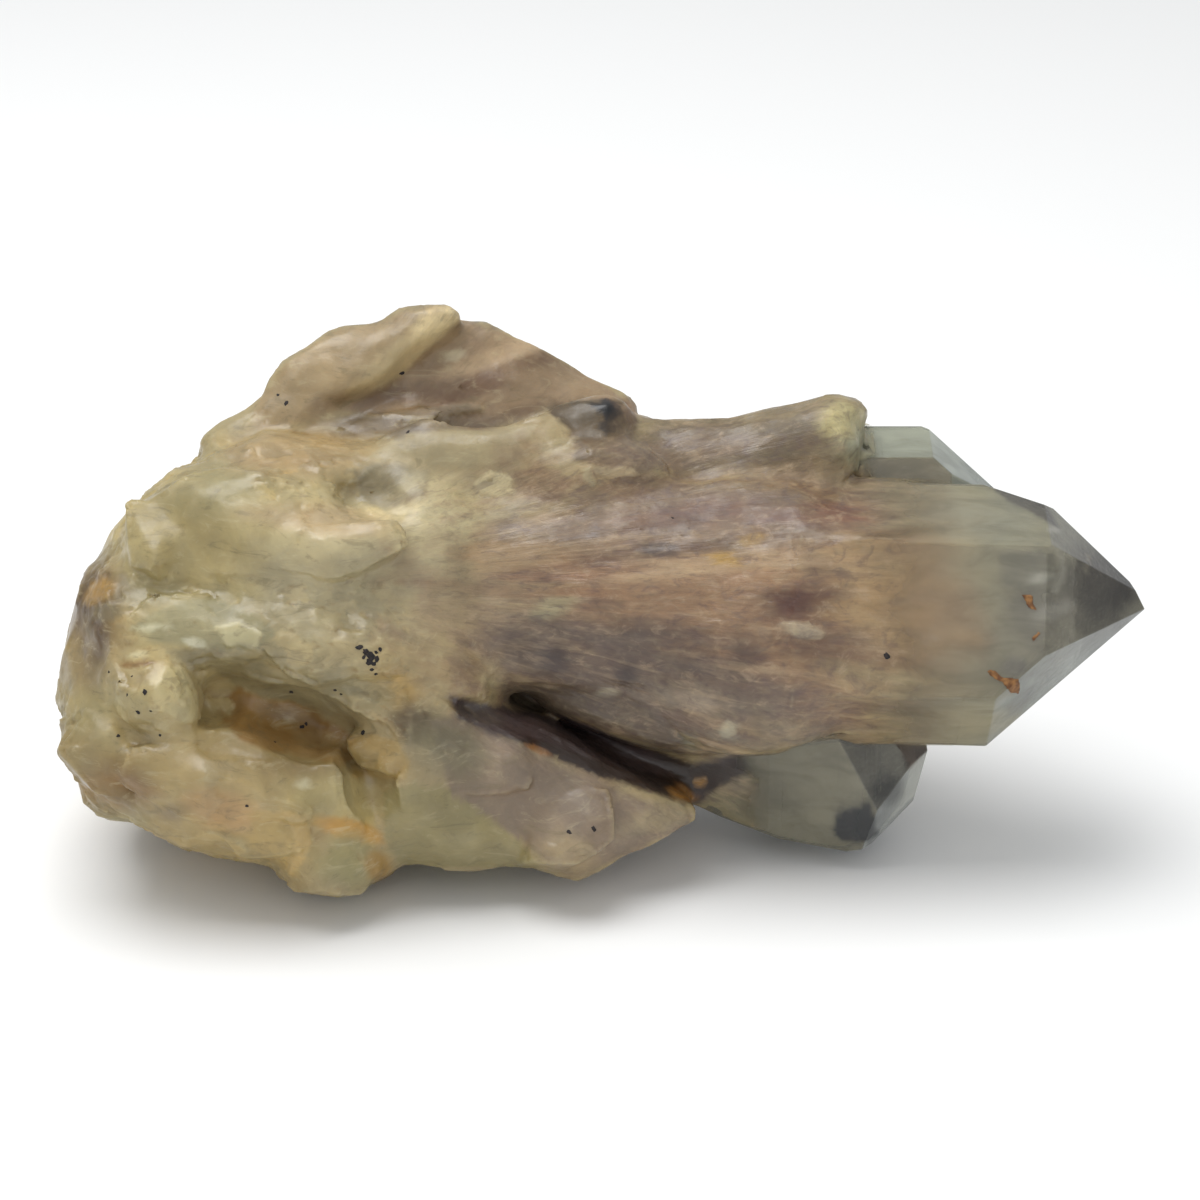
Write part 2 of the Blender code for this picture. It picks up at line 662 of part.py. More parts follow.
def close_pockets(target):
    """Fill the small gaps sealed in between joined forms by keeping only the outer skin."""
    body = bmesh.new()
    body.from_mesh(target.data)
    waiting = set(body.verts)
    skins = []
    while waiting:
        skin = {waiting.pop()}
        front = list(skin)
        while front:
            corner = front.pop()
            for edge in corner.link_edges:
                other = edge.other_vert(corner)
                if other not in skin:
                    skin.add(other)
                    front.append(other)
        waiting -= skin
        skins.append(skin)
    outer = max(skins, key=len)
    bmesh.ops.delete(body, geom=[corner for corner in body.verts if corner not in outer], context="VERTS")
    body.to_mesh(target.data)
    body.free()


def thin_out(target, faces):
    """Lower the number of triangles to about the given one."""
    triangulated = target.modifiers.new("triangles", "TRIANGULATE")
    triangulated.quad_method = "BEAUTY"
    settle(target)
    decimate = target.modifiers.new("thin", "DECIMATE")
    decimate.ratio = faces / len(target.data.polygons)
    settle(target)


def quartz_material():
    """Smoky yellow quartz, as a plain glossy colour."""
    material = bpy.data.materials.new("quartz")
    material.use_nodes = True
    shader = material.node_tree.nodes["Principled BSDF"]
    shader.inputs["Base Color"].default_value = (0.36, 0.31, 0.2, 1.0)
    shader.inputs["Roughness"].default_value = 0.35
    shader.inputs["Metallic"].default_value = 0.0
    return material


def clear_crystals(collection):
    """The crisp crystals that stand out of the broken mass."""
    main = crystal(
        "main_crystal", collection, MAIN_TIP, MAIN_LENGTH, MAIN_FACES,
        tip_shift=MAIN_TIP_SHIFT, drop=MAIN_AXIS_DROP_DEG,
    )
    nose = math.radians(MAIN_NOSE_SLOPE_DEG)
    trim(main, MAIN_TIP, (math.sin(nose), math.cos(nose), 0.0))
    shoulder = math.radians(MAIN_SHOULDER_SLOPE_DEG)
    trim(main, MAIN_SHOULDER, (math.sin(shoulder), math.cos(shoulder), 0.0))
    rear = crystal("rear_crystal", collection, REAR_TIP, REAR_LENGTH, REAR_FACES)
    lower = faceted_gem("lower_crystal", collection, LOWER_HEART, LOWER_CORNERS, LOWER_FACES, size=44.0)
    made = [main, rear, lower]
    for index, (tip, length, faces, drop, turn) in enumerate(BACK_CRYSTALS):
        made.append(crystal(f"back_crystal_{index}", collection, tip, length, faces, drop=drop, turn=turn))
    return made


def rest_on_table(target, collection):
    """Lean the specimen back, cut its lowest bumps flat at the table and centre it."""
    target.data.transform(Matrix.Rotation(math.radians(-LEAN_DEG), 4, "X"))
    width, depth, height = TABLE_BLOCK
    body = bmesh.new()
    bmesh.ops.create_cube(body, size=1.0)
    bmesh.ops.scale(body, verts=body.verts, vec=Vector((width, depth, height)) * MM)
    bmesh.ops.translate(body, verts=body.verts, vec=place(0.0, -height / 2 - TABLE_BELOW_CENTRE, 0.0))
    table = add_object("table_cut", body, collection)
    guide(table)
    boolean(target, table, "DIFFERENCE")
    corners = [corner.co for corner in target.data.vertices]
    low = Vector([min(corner[axis] for corner in corners) for axis in range(3)])
    high = Vector([max(corner[axis] for corner in corners) for axis in range(3)])
    centre = (low + high) / 2
    centre.z = low.z
    target.data.transform(Matrix.Translation(-centre))


def build():
    """Model the whole cluster."""
    clear_scene()
    specimen = make_collection("quartz_cluster")
    guides = make_collection("cutters")
    root_mass(specimen)
    trunk(specimen)
    upper_plates(specimen)
    lower_flange(specimen)
    underside(specimen)
    cluster = join_forms("citrine_cluster", list(specimen.objects), specimen)
    melt(cluster, CARVE_VOXEL)
    for cutter in cutters(guides):
        boolean(cluster, cutter, "DIFFERENCE")
    melt(cluster, CARVE_VOXEL)
    weather(cluster)
    thin_out(cluster, BODY_FACES_KEPT)
    gems = clear_crystals(guides)
    for index, (centre, radii, turn) in enumerate(SHARDS):
        gems.append(shard(f"shard_{index}", guides, centre, radii, SEED + 200 + index, turn=turn))
    for gem in gems:
        guide(gem)
        boolean(cluster, gem, "UNION")
    close_pockets(cluster)
    rest_on_table(cluster, guides)
    cluster.data.materials.clear()
    cluster.data.materials.append(quartz_material())


build()
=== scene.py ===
"""Looks of a smoky yellow quartz cluster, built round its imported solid.

The cluster is described as it is shown in the photograph: x along its length, up,
and out towards the viewer, in millimetres from the middle of the picture.
"""

import logging
import math
import random
from dataclasses import dataclass, field
from enum import Enum

import bmesh
import bpy
import numpy as np
from mathutils import Matrix, Vector, noise
from mathutils.bvhtree import BVHTree


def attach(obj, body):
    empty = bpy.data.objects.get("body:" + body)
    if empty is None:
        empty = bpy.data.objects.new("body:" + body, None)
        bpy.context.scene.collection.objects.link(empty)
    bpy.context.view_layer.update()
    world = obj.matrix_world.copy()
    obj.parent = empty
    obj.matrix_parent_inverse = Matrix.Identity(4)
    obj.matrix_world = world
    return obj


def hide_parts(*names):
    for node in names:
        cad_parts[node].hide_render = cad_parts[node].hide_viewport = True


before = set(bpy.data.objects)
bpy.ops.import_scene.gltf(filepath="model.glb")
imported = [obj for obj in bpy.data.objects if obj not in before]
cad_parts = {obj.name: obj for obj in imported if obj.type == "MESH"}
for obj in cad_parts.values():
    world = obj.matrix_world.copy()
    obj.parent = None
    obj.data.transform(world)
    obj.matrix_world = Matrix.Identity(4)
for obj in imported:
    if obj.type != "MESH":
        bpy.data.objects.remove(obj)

Triple = tuple[float, float, float]
Pair = tuple[float, float]
Socket = bpy.types.NodeSocket
Piece = bpy.types.Object
Material = bpy.types.Material

LOG = logging.getLogger("quartz_cluster")

MM = 0.001
BODY = "root"
NODE = "citrine_cluster"

# How the specimen lies, and the far point of the big crystal, both as its solid has them.
LEAN_DEG = 25.0
MAIN_TIP = (75.0, -1.0, 4.0)

# Quartz optics and growth.
QUARTZ_IOR = 1.544
TIP_FACE_ANGLE = math.radians(38.2)
PRISM_SIDES = 6

# How much lighter a clear crystal's faces are than they look, as they let light through.
GEM_LIGHT = 1.3

# The photograph: its side in pixels and its scale at the middle of the specimen.
PHOTO_PIXELS = 1200
PIXELS_PER_MM = 7.2
LENS_MM = 120.0
SENSOR_MM = 36.0
CAMERA_DISTANCE_MM = LENS_MM * (PHOTO_PIXELS / PIXELS_PER_MM) / SENSOR_MM

# Depth of the finest relief, in metres, and the wear on the clear crystals' edges.
BUMP_DEPTH = 0.0003
WORN_EDGE_MM = 0.16
WORN_EDGE_ANGLE = math.radians(12.0)

# How close to a cut a corner counts as on it, in metres, and the lightest colour of a crystal face.
CUT_TOLERANCE = 1e-7
LIGHTEST_FACE = 0.85

# From how far behind the middle of the picture a patch on the front starts to show, and where it is whole.
FRONT_FADE_MM = (-17.0, -10.0)

# How often each pattern of the streaky stone repeats per millimetre: along it, across it and in depth.
LONG_SCARS = (1 / 19.0, 1 / 3.8, 1 / 4.5)
THIN_SCARS = (1 / 6.5, 1 / 1.5, 1 / 1.8)
SPLITS = (1 / 20.0, 1 / 4.5, 1 / 5.5)
FIBRES = (0.12, 1.1, 0.8)
FINE_FIBRES = (0.3, 2.6, 2.0)
BROAD_STREAKS = (0.045, 0.42, 0.3)
FINE_STREAKS = (0.13, 1.3, 0.9)

# Heights of the root's scars, in scar widths.
BROAD_SCAR_SHARE = 0.22
SMALL_SCAR_SHARE = 0.15

# Heights of the streaky stone's patterns, in millimetres.
LONG_SCAR_HEIGHT = 0.266
THIN_SCAR_HEIGHT = 0.18
SPLIT_HEIGHT = 0.13
FIBRE_HEIGHT = 0.07
FINE_FIBRE_HEIGHT = 0.03


def linear(code: str) -> Triple:
    """Linear colour of a display colour code.

    Args:
        code: six hexadecimal digits, such as "a0906b".

    Returns:
        The red, green and blue parts in linear light.
    """
    parts = [int(code[place:place + 2], 16) / 255.0 for place in (0, 2, 4)]
    return tuple(part / 12.92 if part <= 0.04045 else ((part + 0.055) / 1.055) ** 2.4 for part in parts)


def rgba(code: str) -> tuple[float, float, float, float]:
    """Linear colour of a display colour code, with full cover."""
    return (*linear(code), 1.0)


def smooth_step(low: float, high: float, value: np.ndarray) -> np.ndarray:
    """Smooth rise from 0 at low to 1 at high."""
    share = np.clip((value - low) / (high - low), 0.0, 1.0)
    return share * share * (3.0 - 2.0 * share)


def new_object(name: str, data: bpy.types.ID) -> Piece:
    """An object in the scene that shows some data."""
    made = bpy.data.objects.new(name, data)
    bpy.context.scene.collection.objects.link(made)
    return made


def deselect_all() -> None:
    """Leave nothing selected, so that an operator acts on the new piece alone."""
    for item in bpy.context.selected_objects:
        item.select_set(False)


def make_active(piece: Piece) -> None:
    """Select one object and make it the active one."""
    deselect_all()
    piece.select_set(True)
    bpy.context.view_layer.objects.active = piece


def apply_all(piece: Piece) -> None:
    """Apply every modifier of a piece, in order."""
    make_active(piece)
    for modifier in list(piece.modifiers):
        bpy.ops.object.modifier_apply(modifier=modifier.name)


@dataclass(frozen=True)
class ShownFrame:
    """The specimen's own directions as the photograph shows them.

    Args:
        origin: the world place of the middle of the picture, on the specimen.
        lean_deg: how far the shown side leans back as it rests.
    """

    origin: Vector
    lean_deg: float

    def turn(self) -> Matrix:
        """Rotation from the shown directions to the world's."""
        return Matrix.Rotation(math.radians(-self.lean_deg), 3, "X")

    def world(self, x: float, up: float, out: float) -> Vector:
        """World place of a point given in shown millimetres."""
        return self.origin + self.turn() @ (Vector((x, -out, up)) * MM)

    def direction(self, x: float, up: float, out: float) -> Vector:
        """World direction of a shown direction."""
        return (self.turn() @ Vector((x, -out, up))).normalized()

    def matrix(self) -> Matrix:
        """World matrix that carries a piece modelled in the shown frame."""
        return Matrix.Translation(self.origin) @ self.turn().to_4x4()

    def shown(self, corners: np.ndarray) -> np.ndarray:
        """Shown millimetres (x, up, out) of world points.

        Args:
            corners: world points, one a row.

        Returns:
            The same points as x, up and out.
        """
        return unheld((corners - np.array(self.origin)) @ np.array(self.turn()))

    def placed(self, shown: np.ndarray) -> np.ndarray:
        """World points of shown millimetres."""
        return held_points(shown) @ np.array(self.turn()).T + np.array(self.origin)

    def shown_directions(self, arrows: np.ndarray) -> np.ndarray:
        """Directions x, up, out of world directions."""
        return unheld(arrows @ np.array(self.turn())) * MM


def find_shown_frame() -> ShownFrame:
    """Place the shown frame by the solid's far point, the big crystal's tip."""
    corners = [corner.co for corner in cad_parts[NODE].data.vertices]
    tip = max(corners, key=lambda spot: spot.x)
    unplaced = ShownFrame(origin=Vector((0.0, 0.0, 0.0)), lean_deg=LEAN_DEG)
    return ShownFrame(origin=tip - unplaced.world(*MAIN_TIP), lean_deg=LEAN_DEG)


@dataclass
class Camera:
    """The camera at the photograph's place.

    Args:
        shown: the specimen's shown frame.
    """

    shown: ShownFrame

    def place(self) -> Vector:
        """World place of the lens, at which the picture has the photograph's scale."""
        return self.shown.origin + self.shown.direction(0.0, 0.0, 1.0) * (CAMERA_DISTANCE_MM * MM)

    def build(self) -> None:
        """Make the camera and use it for the picture."""
        data = bpy.data.cameras.new("photo_camera")
        data.lens = LENS_MM
        data.sensor_width = SENSOR_MM
        data.clip_start = 0.01
        camera = new_object("photo_camera", data)
        camera.location = self.place()
        looking = self.shown.direction(0.0, 0.0, -1.0)
        camera.rotation_euler = looking.to_track_quat("-Z", "Y").to_euler()
        bpy.context.scene.camera = camera

    def ray(self, pixel: Pair) -> tuple[Vector, Vector]:
        """Start and direction of the line of sight through a pixel of the photograph."""
        half = PHOTO_PIXELS / 2.0
        spread = SENSOR_MM / LENS_MM / PHOTO_PIXELS
        across = (pixel[0] - half) * spread
        above = (half - pixel[1]) * spread
        return self.place(), self.shown.direction(across, above, -1.0)


@dataclass(frozen=True)
class SoftLight:
    """A square soft light.

    Args:
        name: its name.
        place: where it hangs, in metres.
        size: its side in metres.
        watts: its power.
    """

    name: str
    place: Triple
    size: float
    watts: float

    def build(self, aim: Vector) -> None:
        """Make the light and face it to a place."""
        data = bpy.data.lights.new(self.name, "AREA")
        data.shape = "SQUARE"
        data.size = self.size
        data.energy = self.watts
        light = new_object(self.name, data)
        light.location = self.place
        light.rotation_euler = (aim - Vector(self.place)).to_track_quat("-Z", "Y").to_euler()


SOFT_LIGHTS = (
    SoftLight("overhead_light", place=(-0.16, 0.02, 0.62), size=0.5, watts=3.3),
    SoftLight("front_light", place=(0.10, -0.75, 0.40), size=0.60, watts=0.65),
)


@dataclass
class Studio:
    """Pale floor, soft light from above and a pale surround."""

    aim_height: float = 0.035
    floor_drop: float = 0.0002
    floor_size: float = 3.0
    floor_colour: str = "f4f4f3"
    surround_colour: str = "f2f4f6"
    surround_strength: float = 0.66

    def build(self) -> None:
        """Make the floor, the lights and the surround."""
        self.build_floor()
        for light in SOFT_LIGHTS:
            light.build(Vector((0.0, 0.0, self.aim_height)))
        self.build_surround()
        bpy.context.scene.view_settings.view_transform = "Standard"

    def build_floor(self) -> None:
        """A wide pale sheet under the specimen."""
        deselect_all()
        bpy.ops.mesh.primitive_plane_add(size=self.floor_size, location=(0.0, 0.0, -self.floor_drop))
        floor = bpy.context.active_object
        floor.name = "floor"
        material, _, shader = new_material("pale_floor")
        shader.inputs["Base Color"].default_value = rgba(self.floor_colour)
        shader.inputs["Roughness"].default_value = 0.9
        shader.inputs["Specular IOR Level"].default_value = 0.1
        floor.data.materials.append(material)

    def build_surround(self) -> None:
        """An even pale surround that fills the shadows."""
        world = bpy.data.worlds.new("pale_surround")
        world.use_nodes = True
        background = world.node_tree.nodes["Background"]
        background.inputs["Color"].default_value = rgba(self.surround_colour)
        background.inputs["Strength"].default_value = self.surround_strength
        bpy.context.scene.world = world


class NodeBench:
    """Short calls for laying out a material's or a group's nodes."""

    def __init__(self, tree: bpy.types.NodeTree) -> None:
        """Work on one node tree."""
        self.tree = tree

    def node(self, kind: str, **settings: object) -> bpy.types.Node:
        """Add a node and set its properties."""
        made = self.tree.nodes.new(kind)
        for name, value in settings.items():
            setattr(made, name, value)
        return made

    def link(self, source: Socket, target: Socket) -> None:
        """Join two sockets."""
        self.tree.links.new(source, target)

    def feed(self, target: Socket, value: object) -> None:
        """Link a socket, or set its plain value."""
        if isinstance(value, Socket):
            self.link(value, target)
        else:
            target.default_value = value

    def math(self, operation: str, first: object, second: object) -> Socket:
        """Result of a Math node."""
        made = self.node("ShaderNodeMath", operation=operation)
        self.feed(made.inputs[0], first)
        self.feed(made.inputs[1], second)
        return made.outputs[0]

    def product(self, *factors: object) -> Socket:
        """Product of two or more values."""
        result = factors[0]
        for factor in factors[1:]:
            result = self.math("MULTIPLY", result, factor)
        return result

    def total(self, first: object, second: object) -> Socket:
        """Sum of two values."""
        return self.math("ADD", first, second)

    def noise(self, vector: Socket, scale: float, detail: float = 4.0,
              rough: float = 0.55, distortion: float = 0.0) -> Socket:
        """Value of a Noise texture."""
        made = self.node("ShaderNodeTexNoise")
        self.link(vector, made.inputs["Vector"])
        made.inputs["Scale"].default_value = scale
        made.inputs["Detail"].default_value = detail
        made.inputs["Roughness"].default_value = rough
        made.inputs["Distortion"].default_value = distortion
        return made.outputs["Fac"]

    def stretched_noise(self, vector: Socket, scale: Triple, detail: float,
                        rough: float = 0.55, distortion: float = 0.0) -> Socket:
        """Value of a Noise texture with a scale of its own along each axis."""
        made = self.node("ShaderNodeVectorMath", operation="MULTIPLY")
        self.link(vector, made.inputs[0])
        made.inputs[1].default_value = scale
        return self.noise(made.outputs[0], 1.0, detail, rough, distortion)

    def span(self, value: Socket, low: float, high: float,
             to_low: float = 0.0, to_high: float = 1.0) -> Socket:
        """Value mapped from one range to another, clamped, with a smooth rise."""
        made = self.node("ShaderNodeMapRange", interpolation_type="SMOOTHSTEP")
        self.link(value, made.inputs["Value"])
        made.inputs["From Min"].default_value = low
        made.inputs["From Max"].default_value = high
        made.inputs["To Min"].default_value = to_low
        made.inputs["To Max"].default_value = to_high
        return made.outputs["Result"]

    def mix(self, share: object, first: object, second: object, blend: str = "MIX") -> Socket:
        """Colour between two colours."""
        made = self.node("ShaderNodeMix", data_type="RGBA", blend_type=blend)
        self.feed(made.inputs["Factor"], share)
        self.feed(made.inputs[6], first)
        self.feed(made.inputs[7], second)
        return made.outputs[2]

    def attribute(self, name: str) -> bpy.types.Node:
        """An attribute that the mesh carries."""
        return self.node("ShaderNodeAttribute", attribute_type="GEOMETRY", attribute_name=name)

    def use(self, group: bpy.types.NodeTree, given: Socket) -> bpy.types.Node:
        """Place a shared group and feed its only input."""
        made = self.node("ShaderNodeGroup", node_tree=group)
        self.link(given, made.inputs[0])
        return made

    def bump(self, height: Socket, strength: float, shader: bpy.types.Node) -> None:
        """Give a shader the finest relief."""
        made = self.node("ShaderNodeBump")
        made.inputs["Strength"].default_value = strength
        made.inputs["Distance"].default_value = BUMP_DEPTH
        self.link(height, made.inputs["Height"])
        self.link(made.outputs["Normal"], shader.inputs["Normal"])


def new_material(name: str) -> tuple[Material, NodeBench, bpy.types.Node]:
    """Start a material.

    Args:
        name: its name.

    Returns:
        The material, its bench and its shader.
    """
    material = bpy.data.materials.new(name)
    material.use_nodes = True
    return material, NodeBench(material.node_tree), material.node_tree.nodes["Principled BSDF"]


class GroupSocket(Enum):
    """Kinds of socket that the shared node groups have."""

    NUMBER = "NodeSocketFloat"
    VECTOR = "NodeSocketVector"


def new_group(name: str, inputs: dict[str, GroupSocket], outputs: dict[str, GroupSocket]) -> tuple:
    """Start a shader node group.

    Args:
        name: the group's name.
        inputs: names and kinds of its inputs.
        outputs: names and kinds of its outputs.

    Returns:
        The group, its bench, its input node and its output node.
    """
    tree = bpy.data.node_groups.new(name, "ShaderNodeTree")
    for label, kind in inputs.items():
        tree.interface.new_socket(name=label, in_out="INPUT", socket_type=kind.value)
    for label, kind in outputs.items():
        tree.interface.new_socket(name=label, in_out="OUTPUT", socket_type=kind.value)
    bench = NodeBench(tree)
    return tree, bench, bench.node("NodeGroupInput"), bench.node("NodeGroupOutput")


def grain_group() -> bpy.types.NodeTree:
    """Faint relief of a broken quartz face, and the clouds of milk and smoke inside it."""
    tree, bench, given, result = new_group(
        "quartz_grain",
        {"Vector": GroupSocket.VECTOR},
        {"Height": GroupSocket.NUMBER, "Clouds": GroupSocket.NUMBER, "Veils": GroupSocket.NUMBER},
    )
    place = given.outputs["Vector"]
    fine = bench.noise(place, 1500.0, detail=3.0)
    broad = bench.noise(place, 420.0, detail=4.0, rough=0.5)
    bench.link(bench.total(bench.product(fine, 0.25), broad), result.inputs["Height"])
    clouds = bench.noise(place, 95.0, detail=6.0, rough=0.62, distortion=0.5)
    bench.link(clouds, result.inputs["Clouds"])
    veils = bench.stretched_noise(place, (143.0, 260.0, 416.0), detail=6.0, rough=0.66, distortion=1.4)
    bench.link(veils, result.inputs["Veils"])
    return tree


def streak_group() -> bpy.types.NodeTree:
    """Streaks, blotches and fibres along the crystals, from the grain stored on the mesh."""
    tree, bench, given, result = new_group(
        "quartz_streaks",
        {"Grain": GroupSocket.VECTOR},
        {"Streaks": GroupSocket.NUMBER, "Blotches": GroupSocket.NUMBER, "Fibres": GroupSocket.NUMBER},
    )
    grain = given.outputs["Grain"]
    streaks = bench.stretched_noise(grain, (0.055, 0.36, 0.25), detail=6.0, rough=0.62, distortion=0.7)
    blotches = bench.stretched_noise(grain, (0.30, 0.55, 0.45), detail=6.0, rough=0.66, distortion=0.8)
    fibres = bench.stretched_noise(grain, (0.32, 2.4, 1.4), detail=4.0, rough=0.6, distortion=0.4)
    bench.link(streaks, result.inputs["Streaks"])
    bench.link(blotches, result.inputs["Blotches"])
    bench.link(fibres, result.inputs["Fibres"])
    return tree


def growth_group() -> bpy.types.NodeTree:
    """Smoke, wispy veils and growth lines of a clear crystal, from its growth coordinates."""
    tree, bench, given, result = new_group(
        "quartz_growth",
        {"Growth": GroupSocket.VECTOR},
        {"Smoke": GroupSocket.NUMBER, "Veils": GroupSocket.NUMBER, "Height": GroupSocket.NUMBER},
    )
    growth = given.outputs["Growth"]
    smoke = bench.stretched_noise(growth, (0.12, 0.3, 0.3), detail=5.0, rough=0.6, distortion=0.6)
    veils = bench.stretched_noise(growth, (0.35, 0.4, 0.4), detail=7.0, rough=0.7, distortion=1.8)
    lines = bench.stretched_noise(growth, (2.6, 0.2, 0.2), detail=3.0)
    pits = bench.noise(growth, 1.1, detail=4.0)
    bench.link(smoke, result.inputs["Smoke"])
    bench.link(bench.span(veils, 0.60, 0.74), result.inputs["Veils"])
    bench.link(bench.total(bench.product(lines, 0.6), pits), result.inputs["Height"])
    return tree


@dataclass(frozen=True)
class MilkyFinish:
    """Milky, streaky quartz: the cloudy mass of the cluster.

    Args:
        name: the material's name.
        roughness_low: roughness of its glassy chips.
        roughness_high: roughness of its sugary spots.
        gloss_coat: weight of the clear gloss over it.
        depth_glow: how much light wanders under the skin.
        glow_reach: how far each of red, green and blue wanders, as shares.
        glow_scale: how far the farthest wanders, in metres.
        bump: strength of the finest relief.
        tone: what the light that wanders inside takes from red, green and blue.
    """

    name: str = "milky_quartz"
    roughness_low: float = 0.3
    roughness_high: float = 0.58
    gloss_coat: float = 0.08
    depth_glow: float = 0.35
    glow_reach: Triple = (1.0, 0.78, 0.5)
    glow_scale: float = 0.0014
    bump: float = 0.3
    tone: Triple = (0.85, 0.81, 0.66)

    def build(self, grain_tree: bpy.types.NodeTree, streak_tree: bpy.types.NodeTree) -> Material:
        """Make the material.

        Args:
            grain_tree: the shared group of grain and clouds.
            streak_tree: the shared group of streaks.

        Returns:
            The finished material.
        """
        material, bench, shader = new_material(self.name)
        place = bench.node("ShaderNodeTexCoord").outputs["Object"]
        streaky = bench.attribute("streaky").outputs["Fac"]
        haze = bench.attribute("haze").outputs["Fac"]
        relief = bench.use(grain_tree, place)
        lines = bench.use(streak_tree, bench.attribute("grain").outputs["Vector"])
        self.colour(bench, shader, place, streaky, relief, lines)
        sugary = bench.noise(place, 240.0, detail=4.0)
        rough = bench.span(sugary, 0.38, 0.62, self.roughness_low, self.roughness_high)
        bench.link(rough, shader.inputs["Roughness"])
        bench.link(haze, shader.inputs["Alpha"])
        fibrous = bench.product(lines.outputs["Fibres"], streaky, 1.1)
        bench.bump(bench.product(bench.total(relief.outputs["Height"], fibrous), haze), self.bump, shader)
        shader.inputs["IOR"].default_value = QUARTZ_IOR
        shader.inputs["Coat Weight"].default_value = self.gloss_coat
        shader.inputs["Coat Roughness"].default_value = 0.14
        shader.subsurface_method = "BURLEY"
        shader.inputs["Subsurface Weight"].default_value = self.depth_glow
        shader.inputs["Subsurface Radius"].default_value = self.glow_reach
        shader.inputs["Subsurface Scale"].default_value = self.glow_scale
        return material

    def colour(self, bench: NodeBench, shader: bpy.types.Node, place: Socket,
               streaky: Socket, relief: bpy.types.Node, lines: bpy.types.Node) -> None:
        """Lay the colours: the zones, then blotches along the grain, veils, crease dirt and pale edges of
        painted highlight.
        """
        colour = bench.attribute("tint").outputs["Color"]
        brightness = bench.node("ShaderNodeRGBToBW")
        bench.link(colour, brightness.inputs["Color"])
        lit = bench.span(brightness.outputs["Val"], 0.02, 0.12)
        streaky = bench.product(streaky, lit)
        plain = bench.math("SUBTRACT", lit, bench.product(streaky, 0.8))
        crease = bench.attribute("crease").outputs["Fac"]
        ragged = bench.noise(place, 300.0, detail=5.0, rough=0.65)
        # Pattern, where it starts and is whole, where on the stone it shows, strength and colour.
        layers = (
            (lines.outputs["Blotches"], 0.50, 0.34, streaky, 0.42, "54424a"),
            (lines.outputs["Blotches"], 0.52, 0.68, streaky, 0.38, "b5a08f"),
            (lines.outputs["Streaks"], 0.47, 0.36, streaky, 0.30, "5c443e"),
            (lines.outputs["Streaks"], 0.54, 0.66, streaky, 0.26, "bfa992"),
            (relief.outputs["Veils"], 0.54, 0.70, plain, 0.32, "c8bfa6"),
            (relief.outputs["Veils"], 0.46, 0.32, plain, 0.42, "6c6249"),
            (ragged, 0.44, 0.60, crease, 0.7, "7c5c30"),
        )
        for pattern, low, high, where, strength, code in layers:
            share = bench.product(bench.span(pattern, low, high), where, strength)
            colour = bench.mix(share, colour, rgba(code))
        # Painted highlight: ridges and flake lips are lightened as if they caught the light.
        edge = bench.product(bench.attribute("ridge").outputs["Fac"], lit, 0.2)
        colour = bench.mix(edge, colour, rgba("cfc5a8"))
        fibre = bench.span(lines.outputs["Fibres"], 0.3, 0.7, -0.07, 0.07)
        fibre = bench.total(bench.product(fibre, streaky), 1.0)
        cloud = bench.span(relief.outputs["Clouds"], 0.32, 0.68, 0.84, 1.14)
        shade = bench.node("ShaderNodeCombineColor")
        mottle = bench.product(fibre, cloud)
        for channel, tone in enumerate(self.tone):
            bench.link(bench.product(mottle, tone), shade.inputs[channel])
        shaded = bench.mix(1.0, colour, shade.outputs["Color"], blend="MULTIPLY")
        bench.link(shaded, shader.inputs["Base Color"])


@dataclass(frozen=True)
class HeartFinish:
    """The milk inside a clear crystal, which thins out towards its tip.

    Args:
        name: the material's name.
        roughness: how dull it is.
    """

    name: str = "milky_heart"
    roughness: float = 0.8

    def build(self, veins: bpy.types.NodeTree) -> Material:
        """Make the material, with the shared group of veils and smoke."""
        material, bench, shader = new_material(self.name)
        growth = bench.use(veins, bench.attribute("growth").outputs["Vector"])
        colour = bench.mix(bench.span(growth.outputs["Smoke"], 0.35, 0.6), rgba("c9c3ae"), rgba("eee9da"))
        bench.link(colour, shader.inputs["Base Color"])
        bench.link(bench.attribute("haze").outputs["Fac"], shader.inputs["Alpha"])
        shader.inputs["Roughness"].default_value = self.roughness
        return material


@dataclass(frozen=True)
class ClearFinish:
    """Clear smoky quartz: the see-through crystals.

    Args:
        name: the material's name.
        smoke: colour that the stone lets through.
        density: how fast it darkens with depth, per metre.
        clearness: share of light that passes its faces and is not scattered at them.
        roughness: how frosted its faces are.
        bump: strength of the growth lines.
    """

    name: str
    smoke: str
    density: float
    clearness: float
    roughness: float = 0.08
    bump: float = 0.16

    def build(self, veins: bpy.types.NodeTree) -> Material:
        """Make the material.

        Args:
            veins: the shared group of veils and growth lines.

        Returns:
            The finished material.
        """
        material, bench, shader = new_material(self.name)
        growth = bench.use(veins, bench.attribute("growth").outputs["Vector"])
        tint = bench.attribute("tint").outputs["Color"]
        shade = bench.node("ShaderNodeCombineColor")
        value = bench.span(growth.outputs["Smoke"], 0.3, 0.7, 0.88, 1.12)
        for channel in range(3):
            bench.link(value, shade.inputs[channel])
        colour = bench.mix(1.0, tint, shade.outputs["Color"], blend="MULTIPLY")
        colour = bench.mix(bench.product(growth.outputs["Veils"], 0.35), colour, rgba("cfcdbd"))
        bench.link(colour, shader.inputs["Base Color"])
        shader.inputs["Roughness"].default_value = self.roughness
        shader.inputs["IOR"].default_value = QUARTZ_IOR
        shader.inputs["Transmission Weight"].default_value = self.clearness
        bench.bump(growth.outputs["Height"], self.bump, shader)
        absorb = bench.node("ShaderNodeVolumeAbsorption")
        absorb.inputs["Color"].default_value = rgba(self.smoke)
        absorb.inputs["Density"].default_value = self.density
        bench.link(absorb.outputs["Volume"], material.node_tree.nodes["Material Output"].inputs["Volume"])
        return material


